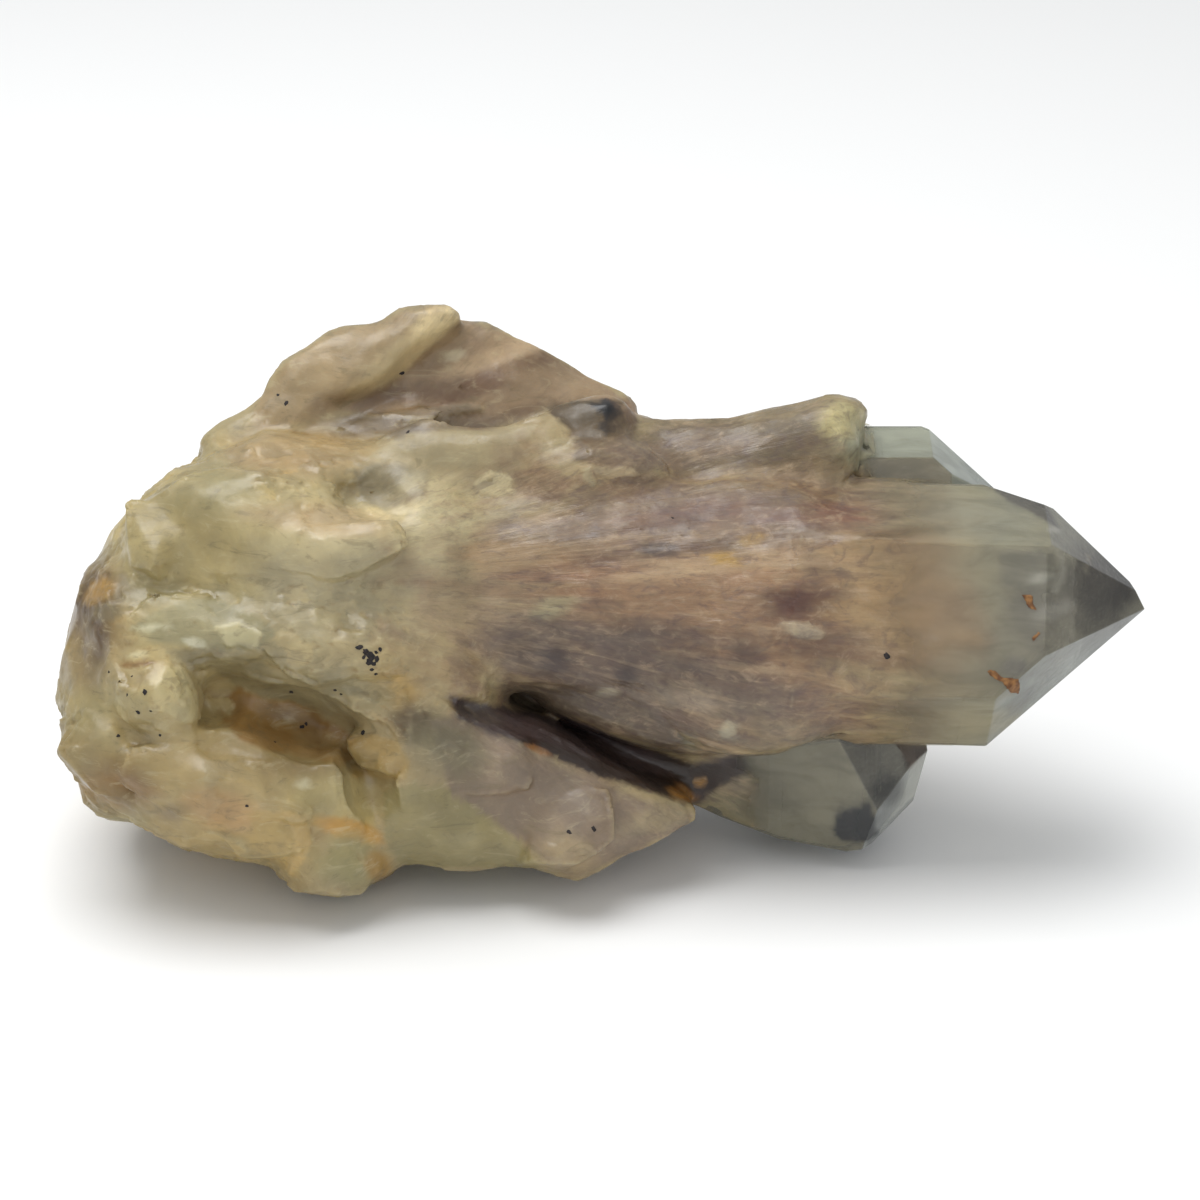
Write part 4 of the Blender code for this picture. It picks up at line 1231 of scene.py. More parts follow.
PATCHES = (
    Patch("left cream", (210, 560), (190, 120), "b9ab84", 0.9, depth=Depth.THROUGH),
    Patch("lower root", (200, 790), (180, 90), "a69369", 0.9, turn=12, depth=Depth.THROUGH),
    Patch("left olive", (190, 530), (90, 52), "a09268", 0.7, turn=4),
    Patch("left green shade", (200, 600), (90, 16), "88805f", 0.6, turn=6),
    Patch("upper left pale", (240, 470), (70, 26), "98916f", 0.7, turn=-30),
    Patch("middle cream", (410, 545), (120, 60), "cfc5a6", turn=-6, depth=Depth.THROUGH),
    Patch("middle left", (345, 585), (90, 50), "a69d86", 0.8, turn=8),
    Patch("middle pink", (330, 520), (70, 16), "a8937a", 0.7, turn=6),
    Patch("middle low", (300, 650), (90, 26), "a99d7f", 0.7, turn=24),
    Patch("rusty rim", (92, 600), (32, 62), "78603c", turn=-14, depth=Depth.THROUGH),
    Patch("rim brown", (84, 640), (24, 62), "523d27", 0.9, turn=8, depth=Depth.THROUGH),
    Patch("rim low", (70, 690), (24, 60), "9c8a62", 0.8, depth=Depth.THROUGH),
    Patch("rim orange", (100, 592), (16, 10), "b08c4c", 0.8, turn=-30, softness=0.4),
    Patch("rim grey", (106, 612), (14, 10), "857c68", 0.6, softness=0.4),
    Outline("left lens", ((126, 628), (150, 612), (184, 599), (222, 599), (253, 614), (276, 634),
        (256, 648), (215, 650), (190, 645), (150, 640)), "989479", 0.75, 5),
    Outline("lens flake", ((216, 628), (238, 622), (262, 634), (256, 648), (240, 642), (228, 646)),
        "bcb596", 0.85, 4),
    # Painted highlights: a glint and two thin white lines of light on the lens.
    Patch("lens glint", (195, 643), (11, 4), "d9d8cb", 0.9, turn=14, softness=0.4),
    Patch("lens line", (148, 627), (20, 2.5), "cfccb8", 0.8, turn=-2, softness=0.4),
    Patch("lens line low", (136, 655), (9, 3), "c4c1ac", 0.7, turn=-10, softness=0.4),
    Outline("grey band", ((168, 652), (212, 648), (262, 662), (298, 692), (312, 706), (281, 701),
        (259, 697), (240, 686), (212, 665), (190, 668)), "867d63", 0.75, 6),
    Outline("round lump", ((166, 664), (184, 668), (196, 702), (198, 720), (182, 724), (150, 706),
        (120, 698)), "b2a785", 0.7, 6),
    Patch("rust notch", (138, 664), (18, 3), "75542c", 0.8, turn=-4, softness=0.4),
    Patch("low cream", (115, 715), (60, 30), "a49872", 0.8, turn=10),
    Outline("hollow", ((222, 700), (238, 688), (262, 698), (284, 701), (314, 708), (332, 722), (360, 745),
        (360, 760), (335, 765), (300, 758), (262, 748), (240, 742), (226, 722)), "927040", 0.9, 6),
    Outline("hollow floor", ((292, 733), (320, 730), (352, 742), (360, 756), (340, 764), (300, 758)),
        "a0855c", 0.8, 4),
    Patch("hollow light", (286, 716), (30, 10), "7f6a47", 0.6, turn=12),
    Outline("hollow flake", ((205, 700), (228, 698), (236, 706), (230, 716), (212, 712)), "a9936a", 0.8, 4),
    Patch("band", (300, 768), (60, 12), "897650", 0.8, turn=8),
    Patch("low pale band", (200, 768), (80, 24), "ab9974", 0.75, turn=24),
    Patch("peach low", (222, 812), (40, 18), "b2926a", 0.8, turn=14),
    Patch("pale patch", (335, 800), (46, 26), "a99d74", 0.75, turn=10),
    Patch("white spot", (302, 784), (9, 5), "cdc8b4", 0.7, softness=0.4),
    Patch("crease brown", (136, 786), (34, 8), "856326", 0.75, turn=18, softness=0.4),
    Patch("low left grey", (116, 812), (34, 16), "8f896c", 0.8, turn=10),
    Patch("low left brown", (172, 812), (16, 10), "7e6e57", 0.7),
    Patch("low left ochre", (118, 786), (40, 26), "7e6030", 0.75, turn=14),
    Outline("bottom lump", ((254, 812), (292, 810), (307, 822), (311, 843), (303, 862), (291, 876),
        (268, 864), (250, 838)), "aa9463", 0.75, 4),
    Patch("rust low", (350, 830), (38, 9), "b3852f", 0.8, turn=16, softness=0.4),
    Patch("bottom grey", (348, 866), (34, 26), "918c69"),
    Patch("bottom orange", (378, 868), (12, 16), "a77e33", 0.7, turn=-30),
    Outline("crust", ((348, 740), (372, 736), (398, 738), (412, 766), (404, 778), (384, 780), (352, 776)),
        "a48a58", 0.7, 5, 5),
    Patch("ochre corner", (394, 690), (28, 18), "a98a4a", 0.8, turn=30),
    Patch("brown corner", (412, 722), (24, 22), "413220", turn=30),
    Patch("grey lens", (350, 690), (50, 22), "948b70", 0.7, turn=10),
    Outline("peach plate", ((256, 404), (284, 364), (337, 329), (376, 325), (409, 311), (448, 303),
        (468, 318), (431, 346), (406, 371), (370, 393), (342, 408), (303, 423), (250, 430)), "a59174", 0.95,
        4, 1.5, Depth.THROUGH),
    # Painted light: these two lighten the plate's lower side and tip, where its edge turns down into shade.
    Patch("plate low side", (402, 356), (70, 12), "d8c5a2", 0.95, turn=-42),
    Patch("plate top", (444, 328), (26, 18), "e6d5b2"),
    Patch("peach root", (300, 452), (70, 26), "a9916e", turn=-4),
    Outline("pink plate", ((462, 318), (500, 332), (553, 357), (600, 382), (630, 404), (600, 402),
        (552, 404), (505, 416), (480, 430), (342, 410), (370, 393), (406, 371), (431, 346)), "957f6a", 0.95,
        5, 1.5, Depth.THROUGH),
    Patch("pink plate shade", (420, 392), (90, 11), "6f5746", turn=-8),
    Patch("pink fold light", (512, 350), (66, 9), "b8a189", 0.9, turn=-20),
    Patch("pink fold shade", (480, 384), (84, 9), "735947", 0.95, turn=-22),
    Patch("pink fold low light", (548, 384), (46, 12), "9f8973", 0.7, turn=18),
    Patch("pink fold low shade", (516, 414), (46, 6), "6d5847", turn=-18),
    # Painted highlight: a small glint on the plate.
    Patch("plate glint", (455, 355), (9, 5), "c9bfae", 0.7, turn=-10, softness=0.4),
    Patch("blades", (400, 424), (80, 14), "675a50", turn=-2),
    Outline("lobe", ((367, 457), (406, 434), (448, 429), (492, 432), (539, 426), (564, 429), (573, 446),
        (567, 464), (503, 469), (440, 468), (409, 466)), "a2967a", 0.9, 2.5, 2.0),
    Outline("knob", ((545, 408), (576, 400), (628, 400), (638, 420), (628, 450), (600, 466), (572, 462),
        (575, 444), (566, 428)), "4a3b22", 0.97, 3, 2.0),
    Patch("knob rim", (630, 412), (8, 16), "8a6f5c", 0.8, softness=0.4),
    Outline("knob spot", ((590, 403), (606, 399), (619, 405), (625, 420), (618, 432), (604, 436),
        (597, 426), (605, 418), (596, 412)), "05070d", 1.0, 1.5, 2.0),
    Outline("mauve pocket", ((514, 470), (560, 468), (572, 484), (560, 504), (530, 502), (516, 490)),
        "8b7968", 0.8, 4, 2.0),
    Outline("pale flake", ((473, 484), (490, 471), (512, 478), (514, 494), (496, 497), (480, 494)),
        "b8ac90", 0.85, 4),
    Outline("pocket", ((353, 470), (385, 462), (430, 470), (424, 492), (386, 512), (360, 502)), "857d68",
        0.8, 5, 3.0),
    Patch("pocket light", (412, 482), (14, 8), "b3ac98", 0.7, turn=-30, softness=0.4),
    Patch("mauve body", (700, 610), (230, 150), "92735d", 0.95, turn=4, softness=0.45, depth=Depth.THROUGH),
    Patch("pink streak body", (700, 515), (210, 44), "725f53", 0.8, turn=-4),
    Patch("left of body", (480, 590), (70, 60), "a08e78", 0.7, turn=4),
    Patch("orange body", (520, 560), (70, 20), "a3876a", 0.55, turn=4),
    Patch("red streak", (520, 592), (90, 8), "805f4c", 0.5, turn=4),
    Patch("pale middle streak", (740, 563), (220, 10), "b0977f", 0.75, turn=-4),
    Patch("pale streak low", (600, 574), (90, 7), "ab9077", 0.6, turn=3),
    Patch("red brown upper", (830, 515), (70, 12), "744e43", 0.7, turn=-2),
    Patch("red mottle", (700, 512), (60, 10), "77544a", 0.6, turn=-8, softness=0.7),
    Patch("red mottle left", (560, 574), (60, 10), "805846", 0.6, turn=-6, softness=0.7),
    Patch("dark mottle", (540, 640), (50, 22), "6a5c56", 0.5, turn=10, softness=0.7),
    Patch("dark mottle low", (640, 650), (60, 16), "5a4c49", 0.6, turn=10, softness=0.7),
    Patch("mauve shade", (650, 680), (180, 50), "605250", turn=14),
    Patch("mauve streak", (760, 720), (100, 14), "7b6f67", 0.6, turn=20),
    Patch("reddish heart", (832, 604), (72, 20), "4d2a22", 0.95, turn=4),
    Patch("reddish heart low", (850, 650), (70, 30), "674b3f", 0.75, turn=6),
    # Painted highlights: a pale flare and a cluster of glints on the body.
    Patch("pale flare", (806, 631), (22, 7), "ab9c8c", 0.75, turn=8, softness=0.4),
    Patch("green glints", (552, 608), (22, 10), "aaa48a", 0.7, turn=-12),
    Patch("ridge", (740, 440), (150, 36), "615341", 0.95, turn=-6, depth=Depth.THROUGH),
    Patch("ridge mauve", (680, 452), (80, 18), "85736a", 0.6, turn=-6),
    Patch("ridge crest", (780, 410), (80, 9), "8f8067", 0.7, turn=-4),
    Patch("ridge end", (845, 420), (26, 20), "cdc49c", 0.9),
    Patch("tan nose", (905, 600), (70, 60), "aa9070", 0.9, depth=Depth.THROUGH),
    Patch("nose top", (930, 500), (50, 30), "958c78", 0.8),
    Patch("nose low", (930, 700), (50, 30), "90826a", 0.8, turn=-20),
    Patch("body blotch", (556, 660), (14, 14), "43373a", 0.8, turn=10, softness=0.6),
    Patch("body blotch low", (626, 675), (10, 15), "43373a", 0.8, turn=20, softness=0.6),
    Patch("body blotch right", (748, 658), (22, 11), "4b3b3c", 0.7, turn=8, softness=0.6),
    Patch("body blotch left", (596, 560), (20, 6), "6d5348", 0.6, turn=-6, softness=0.6),
    Patch("low pale wisp", (682, 702), (40, 8), "9a8d84", 0.7, turn=10, softness=0.6),
    Patch("white wisp", (606, 693), (12, 5), "c3bdae", 0.75, turn=-10, softness=0.4),
    Patch("white wisp low", (729, 728), (9, 8), "b9b5a8", 0.7, turn=60, softness=0.4),
    Patch("glassy green", (682, 742), (16, 8), "5f6a62", 0.7, turn=10),
    Patch("dark body spot", (660, 549), (17, 8), "4a4145", 0.8, turn=4),
    Outline("yellow patch", ((710, 556), (722, 552), (740, 560), (738, 567), (724, 564), (718, 566)),
        "bb9756", 0.85, 3, 2.0),
    Patch("yellow fleck", (752, 539), (11, 5), "a88a58", 0.7, turn=-14, softness=0.4),
    Outline("flange", ((430, 720), (470, 716), (560, 764), (640, 800), (696, 812), (690, 826), (640, 848),
        (570, 880), (520, 840), (450, 800)), "82726a", 0.9, 8),
    Patch("flange left", (450, 750), (40, 26), "7b745f", turn=20),
    Patch("flange tip", (660, 818), (40, 12), "a0927a", 0.75, turn=-16),
    Patch("flange point", (568, 856), (26, 22), "a5947b", 0.75, turn=40),
    Outline("green lump", ((384, 792), (412, 784), (446, 788), (492, 818), (524, 846), (540, 868),
        (450, 868), (400, 864), (384, 840)), "938a66", 0.9, 4, 2.0),
    Patch("lower crystal", (800, 800), (110, 44), "7a7664", 0.95, turn=8, depth=Depth.THROUGH),
    # Painted shadow: the big crystal's shadow on the top of the lower crystal.
    Patch("lower crystal brown", (735, 785), (30, 16), "5f5547", 0.7, turn=10),
    Outline("groove roof", ((500, 684), (570, 684), (640, 702), (684, 740), (690, 762), (650, 748),
        (585, 722), (505, 706)), "5f524b", 0.9, 10, 3.0, Depth.THROUGH),
    # Painted shadow: the groove, its brown floor, its end, its middle and its haze are the dark shade in the
    # recess under the big crystal.
    Outline("groove", ((450, 697), (505, 706), (585, 722), (650, 748), (690, 762), (733, 754), (765, 760),
        (746, 774), (715, 792), (696, 806), (643, 790), (570, 764), (538, 750), (492, 736), (458, 718)),
        "3b2f35", 0.97, 8, 3.0, Depth.THROUGH),
    Outline("groove brown", ((500, 734), (560, 746), (640, 772), (700, 780), (694, 806), (643, 790),
        (570, 764), (538, 750)), "2a1c12", 0.85, 6, 3.0),
    Outline("groove end", ((655, 750), (700, 762), (762, 760), (746, 776), (715, 794), (684, 788)),
        "2c1e15", 0.9, 8, 3.0, Depth.THROUGH),
    Patch("groove mid", (600, 748), (60, 6), "3a2d2a", 0.5, turn=22),
    Patch("groove haze", (480, 715), (22, 9), "4b4446", 0.7, turn=14, softness=0.4),
    Patch("orange seam", (538, 750), (14, 3), "93602c", turn=24, softness=0.4),
    Patch("orange end", (682, 794), (14, 8), "a8741f", turn=14, softness=0.4),
    Patch("orange fleck", (700, 782), (6, 6), "b08030", 0.8, softness=0.4),
    Patch("rear crystal", (905, 445), (60, 28), "a1a494", 0.95, depth=Depth.THROUGH),
)


PALE_FLAKES = (
    Outline("flake middle", ((473, 484), (490, 471), (504, 474), (512, 478), (514, 494), (496, 497),
        (480, 494)), "c9bda0", 0.9, 1.5, 2.0),
    Outline("flake lens", ((216, 628), (238, 622), (262, 634), (256, 648), (240, 642), (228, 646)),
        "c2bb9c", 0.9, 1.5, 2.0),
    Outline("flake prism", ((582, 469), (590, 467), (597, 484), (592, 488), (584, 480)), "a89f88", 0.7, 1.5,
        1.0),
    Outline("flake strip", ((590, 466), (634, 468), (640, 476), (612, 479), (596, 474)), "a3957f", 0.7, 1.5,
        1.5),
    Outline("flake root", ((161, 668), (182, 666), (196, 692), (199, 718), (184, 722), (150, 706)),
        "b8ad8b", 0.7, 1.5, 2.0),
    Outline("flake blade", ((368, 417), (404, 410), (446, 405), (480, 405), (484, 411), (452, 415),
        (414, 419)), "8f8173", 0.8, 1.5, 1.0),
    Outline("flake blade low", ((414, 423), (440, 415), (452, 417), (446, 426), (424, 429)), "94877a", 0.7,
        1.5, 1.0),
    Outline("flake hollow", ((205, 700), (228, 697), (236, 704), (230, 714), (220, 708), (212, 712)),
        "b7a883", 0.8, 1.5, 2.0),
    Outline("flake band", ((348, 748), (366, 736), (398, 739), (412, 762), (404, 778), (384, 772),
        (360, 768)), "a28c60", 0.6, 1.5, 3.0),
    Outline("flake body", ((784, 624), (808, 622), (826, 632), (822, 640), (798, 638)), "ad9f90", 0.7, 1.5,
        2.0),
    Outline("flake low edge", ((280, 808), (306, 818), (312, 842), (302, 864), (288, 876), (296, 850),
        (292, 828)), "b79e6e", 0.6, 1.5, 1.0),
)


CRYSTAL_PATCHES = (
    Patch("main root brown", (945, 625), (42, 44), "8e775c", 0.75, softness=0.6),
    Patch("main root fibres", (955, 640), (30, 10), "a48a64", 0.4),
    Patch("main upper pale", (985, 522), (60, 22), "949383", 0.7),
    Patch("main front end", (1036, 610), (36, 60), "7a766a", softness=0.6),
    Patch("main tip dark", (1112, 584), (36, 36), "3d3936", 0.95, turn=30),
    Patch("main tip smoke", (1088, 596), (30, 50), "5f5b54", 0.75, softness=0.6),
    Outline("main dark rim", ((990, 486), (1046, 503), (1060, 530), (1030, 512), (1008, 500)), "55524f",
        0.85, 3, 1.0),
    Outline("main smoky square", ((1000, 551), (1056, 551), (1058, 572), (1050, 592), (1002, 590)),
        "7d7a6c", 0.7, 4, 1.0),
    Outline("main inner shade", ((950, 680), (1005, 676), (1015, 695), (990, 704), (950, 697)), "857e66",
        0.7, 3, 1.0),
    Patch("main lower pale", (960, 722), (60, 20), "a9a081"),
    Patch("white fleck", (1040, 578), (16, 4), "b5b3a6", 0.6, turn=-6),
    Patch("white fleck low", (1052, 612), (20, 8), "a3a095", 0.6, turn=-20),
    Outline("veil", ((1056, 548), (1064, 552), (1067, 572), (1058, 594), (1050, 592), (1060, 572)),
        "a5a294", 0.75, 4, 1.0),
    Outline("veil line", ((1086, 554), (1090, 556), (1089, 568), (1085, 572), (1087, 562)), "a49c86", 0.7,
        3, 0.5),
    Patch("veil top", (1054, 530), (8, 3), "bdbbb0", 0.7, softness=0.4),
    # Painted highlight: a white flare on the big crystal's root.
    Patch("white flare", (926, 640), (12, 4), "d5cec0", turn=-10, softness=0.4),
    Patch("grey spot", (1014, 667), (13, 9), "6f6b65", 0.7),
    Patch("facet specks", (1020, 700), (16, 8), "74736c", 0.5, turn=-40),
    Patch("lower crystal root", (745, 800), (60, 40), "7a7664", 0.95),
    Outline("lower crystal dark", ((840, 812), (870, 800), (880, 838), (842, 843), (832, 830)), "33363c",
        0.95, 5),
    Patch("lower crystal smoke", (884, 788), (16, 16), "4a4a48", 0.8),
    # Painted shade on the lower crystal's top ledge by its tip.
    Outline("lower crystal brown", ((902, 750), (927, 751), (908, 770)), "58493f", 0.8, 3, 1.0),
)


@dataclass(frozen=True)
class Lump:
    """A rounded swelling of the stone.

    Args:
        name: what it is on the specimen.
        middle: its middle as x, up and out.
        reach: its half sizes along its length, across it and outwards.
        turn: how far its length points down to the right, in degrees.
    """

    name: str
    middle: Triple
    reach: Triple
    turn: float = 0.0

    def build(self, shown: ShownFrame) -> Piece:
        """Make it from a ball, at its place."""
        along, across, out = self.reach
        place = shown.matrix() @ Matrix.Translation(held(self.middle))
        place = place @ Matrix.Rotation(math.radians(self.turn), 4, "Y")
        place = place @ Matrix.Diagonal((along * MM, out * MM, across * MM, 1.0))
        deselect_all()
        bpy.ops.mesh.primitive_ico_sphere_add(subdivisions=4, radius=1.0)
        piece = bpy.context.active_object
        piece.name = self.name
        piece.matrix_world = place
        bpy.ops.object.transform_apply(location=True, rotation=True, scale=True)
        return piece


LUMPS = (
    Lump("main_crystal_foot", (3.5, -16.1, 2.5), (14.3, 3.4, 8.0), 17.0),
    Lump("left_rim", (-63.4, -2.6, 13.6), (6.2, 8.6, 8.6)),
)


FILL_AREAS = (
    Patch("left rim hole", (112, 604), (40, 66), softness=0.2, depth=Depth.THROUGH),
    Patch("groove roof", (590, 712), (118, 30), turn=18, softness=0.25, depth=Depth.THROUGH),
)


PLAIN_AREAS = (
    Patch("plates", (420, 400), (230, 75), strength=0.8, softness=0.3, depth=Depth.THROUGH),
    Patch("flange", (500, 830), (150, 70), strength=0.75, softness=0.3, depth=Depth.THROUGH),
)


CALM_AREAS = (
    Patch("peach plate", (355, 368), (120, 56), turn=-28, strength=0.9, softness=0.25, depth=Depth.THROUGH),
    Patch("pink plate", (530, 372), (110, 50), turn=24, strength=0.85, softness=0.25, depth=Depth.THROUGH),
    Patch("lobe", (470, 448), (110, 24), turn=-3, strength=0.6, softness=0.3),
    Patch("left smooth", (200, 540), (90, 50), strength=0.6, softness=0.4),
    Patch("lens", (200, 622), (80, 24), strength=0.6, softness=0.4),
    Patch("hollow", (285, 725), (90, 40), turn=14, strength=0.5, softness=0.4),
    Patch("green lump", (460, 830), (90, 44), strength=0.7, softness=0.4),
    Patch("flange", (590, 810), (110, 50), turn=16, strength=0.6, softness=0.4),
)


SHARP_AREAS = (
    Patch("peach plate", (350, 370), (150, 52), turn=-30, strength=0.9, softness=0.2, depth=Depth.THROUGH),
    Patch("plate edge", (470, 350), (60, 40), strength=0.8, softness=0.3, depth=Depth.THROUGH),
    Patch("blades", (420, 418), (80, 16), strength=0.5, softness=0.3),
    Patch("knob", (590, 425), (50, 34), strength=0.7, softness=0.3),
    Patch("lobe", (470, 448), (110, 26), turn=-3, strength=0.45, softness=0.3),
    Patch("hollow", (285, 728), (88, 34), turn=14, strength=0.75, softness=0.3),
    Patch("ridge end", (840, 425), (40, 34), strength=0.7, softness=0.3),
)


@dataclass
class CloudyBody:
    """The milky mass of the cluster: its solid, carved finely and coloured.

    Args:
        shown: the shown frame.
        gems: the clear crystals, over which its skin thins out.
        voxel: fineness of the carved mesh, in millimetres.
        most_triangles: the most that it may have in the end.
        streak_focus: where the streaks fan out from, as x and up.
        broad_scar: width of its wide fracture scars, in millimetres.
        small_scar: width of its small ones.
        flake_step: thickness of the layers that flaked off.
        crease_reach: how many rings of faces a crease is looked for over.
        ease_rounds: how far the solid's lumps are eased, in rounds of averaging.
        fill_rounds: how far its deep recesses are filled, in rounds more.
        plate_height: how far the pale plates stand up, in millimetres.
    """

    shown: ShownFrame
    gems: tuple[Gem, ...]
    voxel: float = 0.45
    most_triangles: int = 195000
    streak_focus: Pair = (-42.0, 2.0)
    broad_scar: float = 8.0
    small_scar: float = 2.7
    flake_step: float = 0.34
    crease_reach: int = 10
    ease_rounds: int = 90
    fill_rounds: int = 110
    plate_height: float = 0.28

    def build(self, material: Material) -> Piece:
        """Carve, colour and dress the mass."""
        piece = self.copy_solid()
        self.add_lumps(piece)
        self.remesh(piece)
        self.soften(piece)
        self.carve(piece)
        self.limit_triangles(piece)
        self.colour(piece)
        piece.data.materials.clear()
        make_active(piece)
        bpy.ops.object.shade_smooth()
        dress(piece, material)
        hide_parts(NODE)
        return piece

    def copy_solid(self) -> Piece:
        """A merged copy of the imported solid."""
        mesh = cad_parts[NODE].data.copy()
        body = bmesh.new()
        body.from_mesh(mesh)
        bmesh.ops.remove_doubles(body, verts=body.verts, dist=1e-6)
        body.to_mesh(mesh)
        body.free()
        mesh.name = "cloudy_quartz"
        return new_object("cloudy_quartz", mesh)

    def add_lumps(self, piece: Piece) -> None:
        """Join the rounded swellings to the solid, before one skin is drawn over both."""
        lumps = [lump.build(self.shown) for lump in LUMPS]
        make_active(piece)
        for lump in lumps:
            lump.select_set(True)
        bpy.ops.object.join()

    def remesh(self, piece: Piece) -> None:
        """Turn the faceted solid into an even fine mesh."""
        remesh = piece.modifiers.new("fine_mesh", "REMESH")
        remesh.mode = "VOXEL"
        remesh.voxel_size = self.voxel * MM
        ease = piece.modifiers.new("ease", "SMOOTH")
        ease.factor = 0.5
        ease.iterations = 2
        apply_all(piece)

    def normals(self, piece: Piece) -> np.ndarray:
        """Vertex normals of a piece, one a row."""
        found = np.empty(len(piece.data.vertices) * 3, np.float32)
        piece.data.vertices.foreach_get("normal", found)
        return found.reshape(-1, 3).astype(float)

    def grain(self, shown: np.ndarray) -> np.ndarray:
        """Streak coordinates: distance from the root, place across the streaks and depth, in millimetres."""
        across = shown[:, 0] - self.streak_focus[0]
        above = shown[:, 1] - self.streak_focus[1]
        ring = np.hypot(across, above)
        fan = np.arctan2(above, np.maximum(across + 8.0, 2.0)) * 62.0
        return np.stack((ring, fan, shown[:, 2]), axis=1)

    def streakiness(self, shown: np.ndarray) -> np.ndarray:
        """How fibrous the stone is at each point."""
        spots = photo_pixels(shown)
        share = smooth_step(-36.0, -6.0, shown[:, 0] + 0.3 * shown[:, 1])
        for area in PLAIN_AREAS:
            share = share * (1.0 - area.weight(spots, shown[:, 2], np.zeros(len(shown))))
        return share

    def carve(self, piece: Piece) -> None:
        """Give the skin its scars and streaks, and draw it in where a clear crystal takes over."""
        corners = mesh_corners(piece.data)
        normals = self.normals(piece)
        shown = self.shown.shown(corners)
        grain = self.grain(shown)
        streaky = self.streakiness(shown)
        calm = self.most_weight(CALM_AREAS, shown)
        carved = np.empty((len(corners), 4))
        for index in range(len(corners)):
            carved[index] = self.scars(shown[index], grain[index], streaky[index], calm[index])
        spots = photo_pixels(shown)
        wobble = ragged_noise(shown)
        for flake in PALE_FLAKES:
            plate = flake.weight(spots, shown[:, 2], wobble) / flake.strength
            carved[:, 0] += self.plate_height * plate
            carved[:, 1] = np.maximum(carved[:, 1], 3.0 * plate * (1.0 - plate))
        floor = smooth_step(0.6, 1.6, corners[:, 2] / MM)
        corners = corners + normals * (carved[:, 0] * self.thinning(shown) * floor * MM)[:, None]
        for gem in self.gems:
            corners = self.draw_in(gem, corners)
        set_corners(piece.data, corners)
        store(piece.data, "edge", "FLOAT", carved[:, 1])
        store(piece.data, "tone", "FLOAT", carved[:, 2])
        store(piece.data, "foot", "FLOAT", carved[:, 3])

    def most_weight(self, areas: tuple[Patch, ...], shown: np.ndarray) -> np.ndarray:
        """How far each point lies in one of the areas, from 0 to 1."""
        spots = photo_pixels(shown)
        most = np.zeros(len(shown))
        for area in areas:
            most = np.maximum(most, area.weight(spots, shown[:, 2], np.zeros(len(shown))))
        return most

    def thinning(self, shown: np.ndarray) -> np.ndarray:
        """How much of the relief is left where the skin thins out over the clear crystals."""
        left = np.ones(len(shown))
        for gem in self.gems:
            near = smooth_step(1.5, 0.6, gem.outside(shown))
            left = left * (1.0 - near * smooth_step(gem.skin[1] + 4.0, gem.skin[0], gem.behind(shown)))
        return left

    def draw_in(self, gem: Gem, corners: np.ndarray) -> np.ndarray:
        """Draw the skin into one clear crystal, past the place where it has thinned out."""
        shown = self.shown.shown(corners)
        near = smooth_step(1.4, 0.7, gem.outside(shown))
        behind = gem.behind(shown)
        end = gem.skin[0]
        share = 1.0 - 0.25 * smooth_step(end, end - 3.0, behind) * near
        share = share + 0.024 * smooth_step(end, end + 1.0, behind) * near
        shift = np.where(behind < end - 2.0, (end - 2.0 - behind) * 0.97, 0.0) * near
        return self.shown.placed(gem.drawn(shown, share) + np.outer(shift, gem.axis()[1]))

    def scars(self, spot: np.ndarray, grain: np.ndarray, streaky: float, calm: float) -> tuple[float, ...]:
        """Carving at one point.

        Args:
            spot: the point, as shown.
            grain: its streak coordinates.
            streaky: how fibrous the stone is there.
            calm: how smooth it is there.

        Returns:
            The height in millimetres, how close a flake's lip is, the scar's tone and how close a foot is.
        """
        point = Vector(spot)
        broken = 1.0 - 0.9 * calm
        broad, broad_gap, broad_tone = scoops(point / self.broad_scar)
        small, small_gap, small_tone = scoops(point / self.small_scar + Vector((7.0, 3.0, 5.0)))
        patchy = broken * min(1.0, max(0.0, 0.3 + 2.4 * noise.noise(point * 0.12)))
        flaky = broken * min(1.0, max(0.15, 0.6 + 1.8 * noise.noise(point * 0.07 + Vector((5.0, 1.0, 9.0)))))
        wide = point.x / 13.0
        step, lip, foot, layer = flakes(Vector((wide, point.y / 8.5 + 0.2 * wide, point.z / 10.0)))
        root = self.broad_scar * BROAD_SCAR_SHARE * (1.0 - 0.8 * calm) * broad
        root += self.small_scar * SMALL_SCAR_SHARE * patchy * small
        root += self.flake_step * flaky * step
        root_lip = max(0.7 - broad_gap / 0.05, (0.6 - small_gap / 0.09) * patchy, lip * flaky, 0.0)
        root_tone = 0.5 * broad_tone * broken + 0.35 * patchy * small_tone + 0.45 * flaky * layer
        long, long_gap, long_tone = scoops(stretched(grain, LONG_SCARS))
        thin, thin_gap, thin_tone = scoops(stretched(grain, THIN_SCARS))
        split, split_lip, split_foot, _ = flakes(stretched(grain, SPLITS))
        trunk = LONG_SCAR_HEIGHT * long + THIN_SCAR_HEIGHT * thin + SPLIT_HEIGHT * split
        trunk += FIBRE_HEIGHT * noise.noise(stretched(grain, FIBRES))
        trunk += FINE_FIBRE_HEIGHT * noise.noise(stretched(grain, FINE_FIBRES))
        trunk_lip = max(0.6 - long_gap / 0.05, 0.5 - thin_gap / 0.08, 0.8 * split_lip, 0.0)
        trunk_tone = 0.3 * long_tone + 0.35 * thin_tone
        plain = 1.0 - streaky
        return (
            root * plain + trunk * streaky,
            root_lip * plain + trunk_lip * streaky,
            root_tone * plain + trunk_tone * streaky,
            foot * flaky * plain + 0.5 * split_foot * streaky,
        )

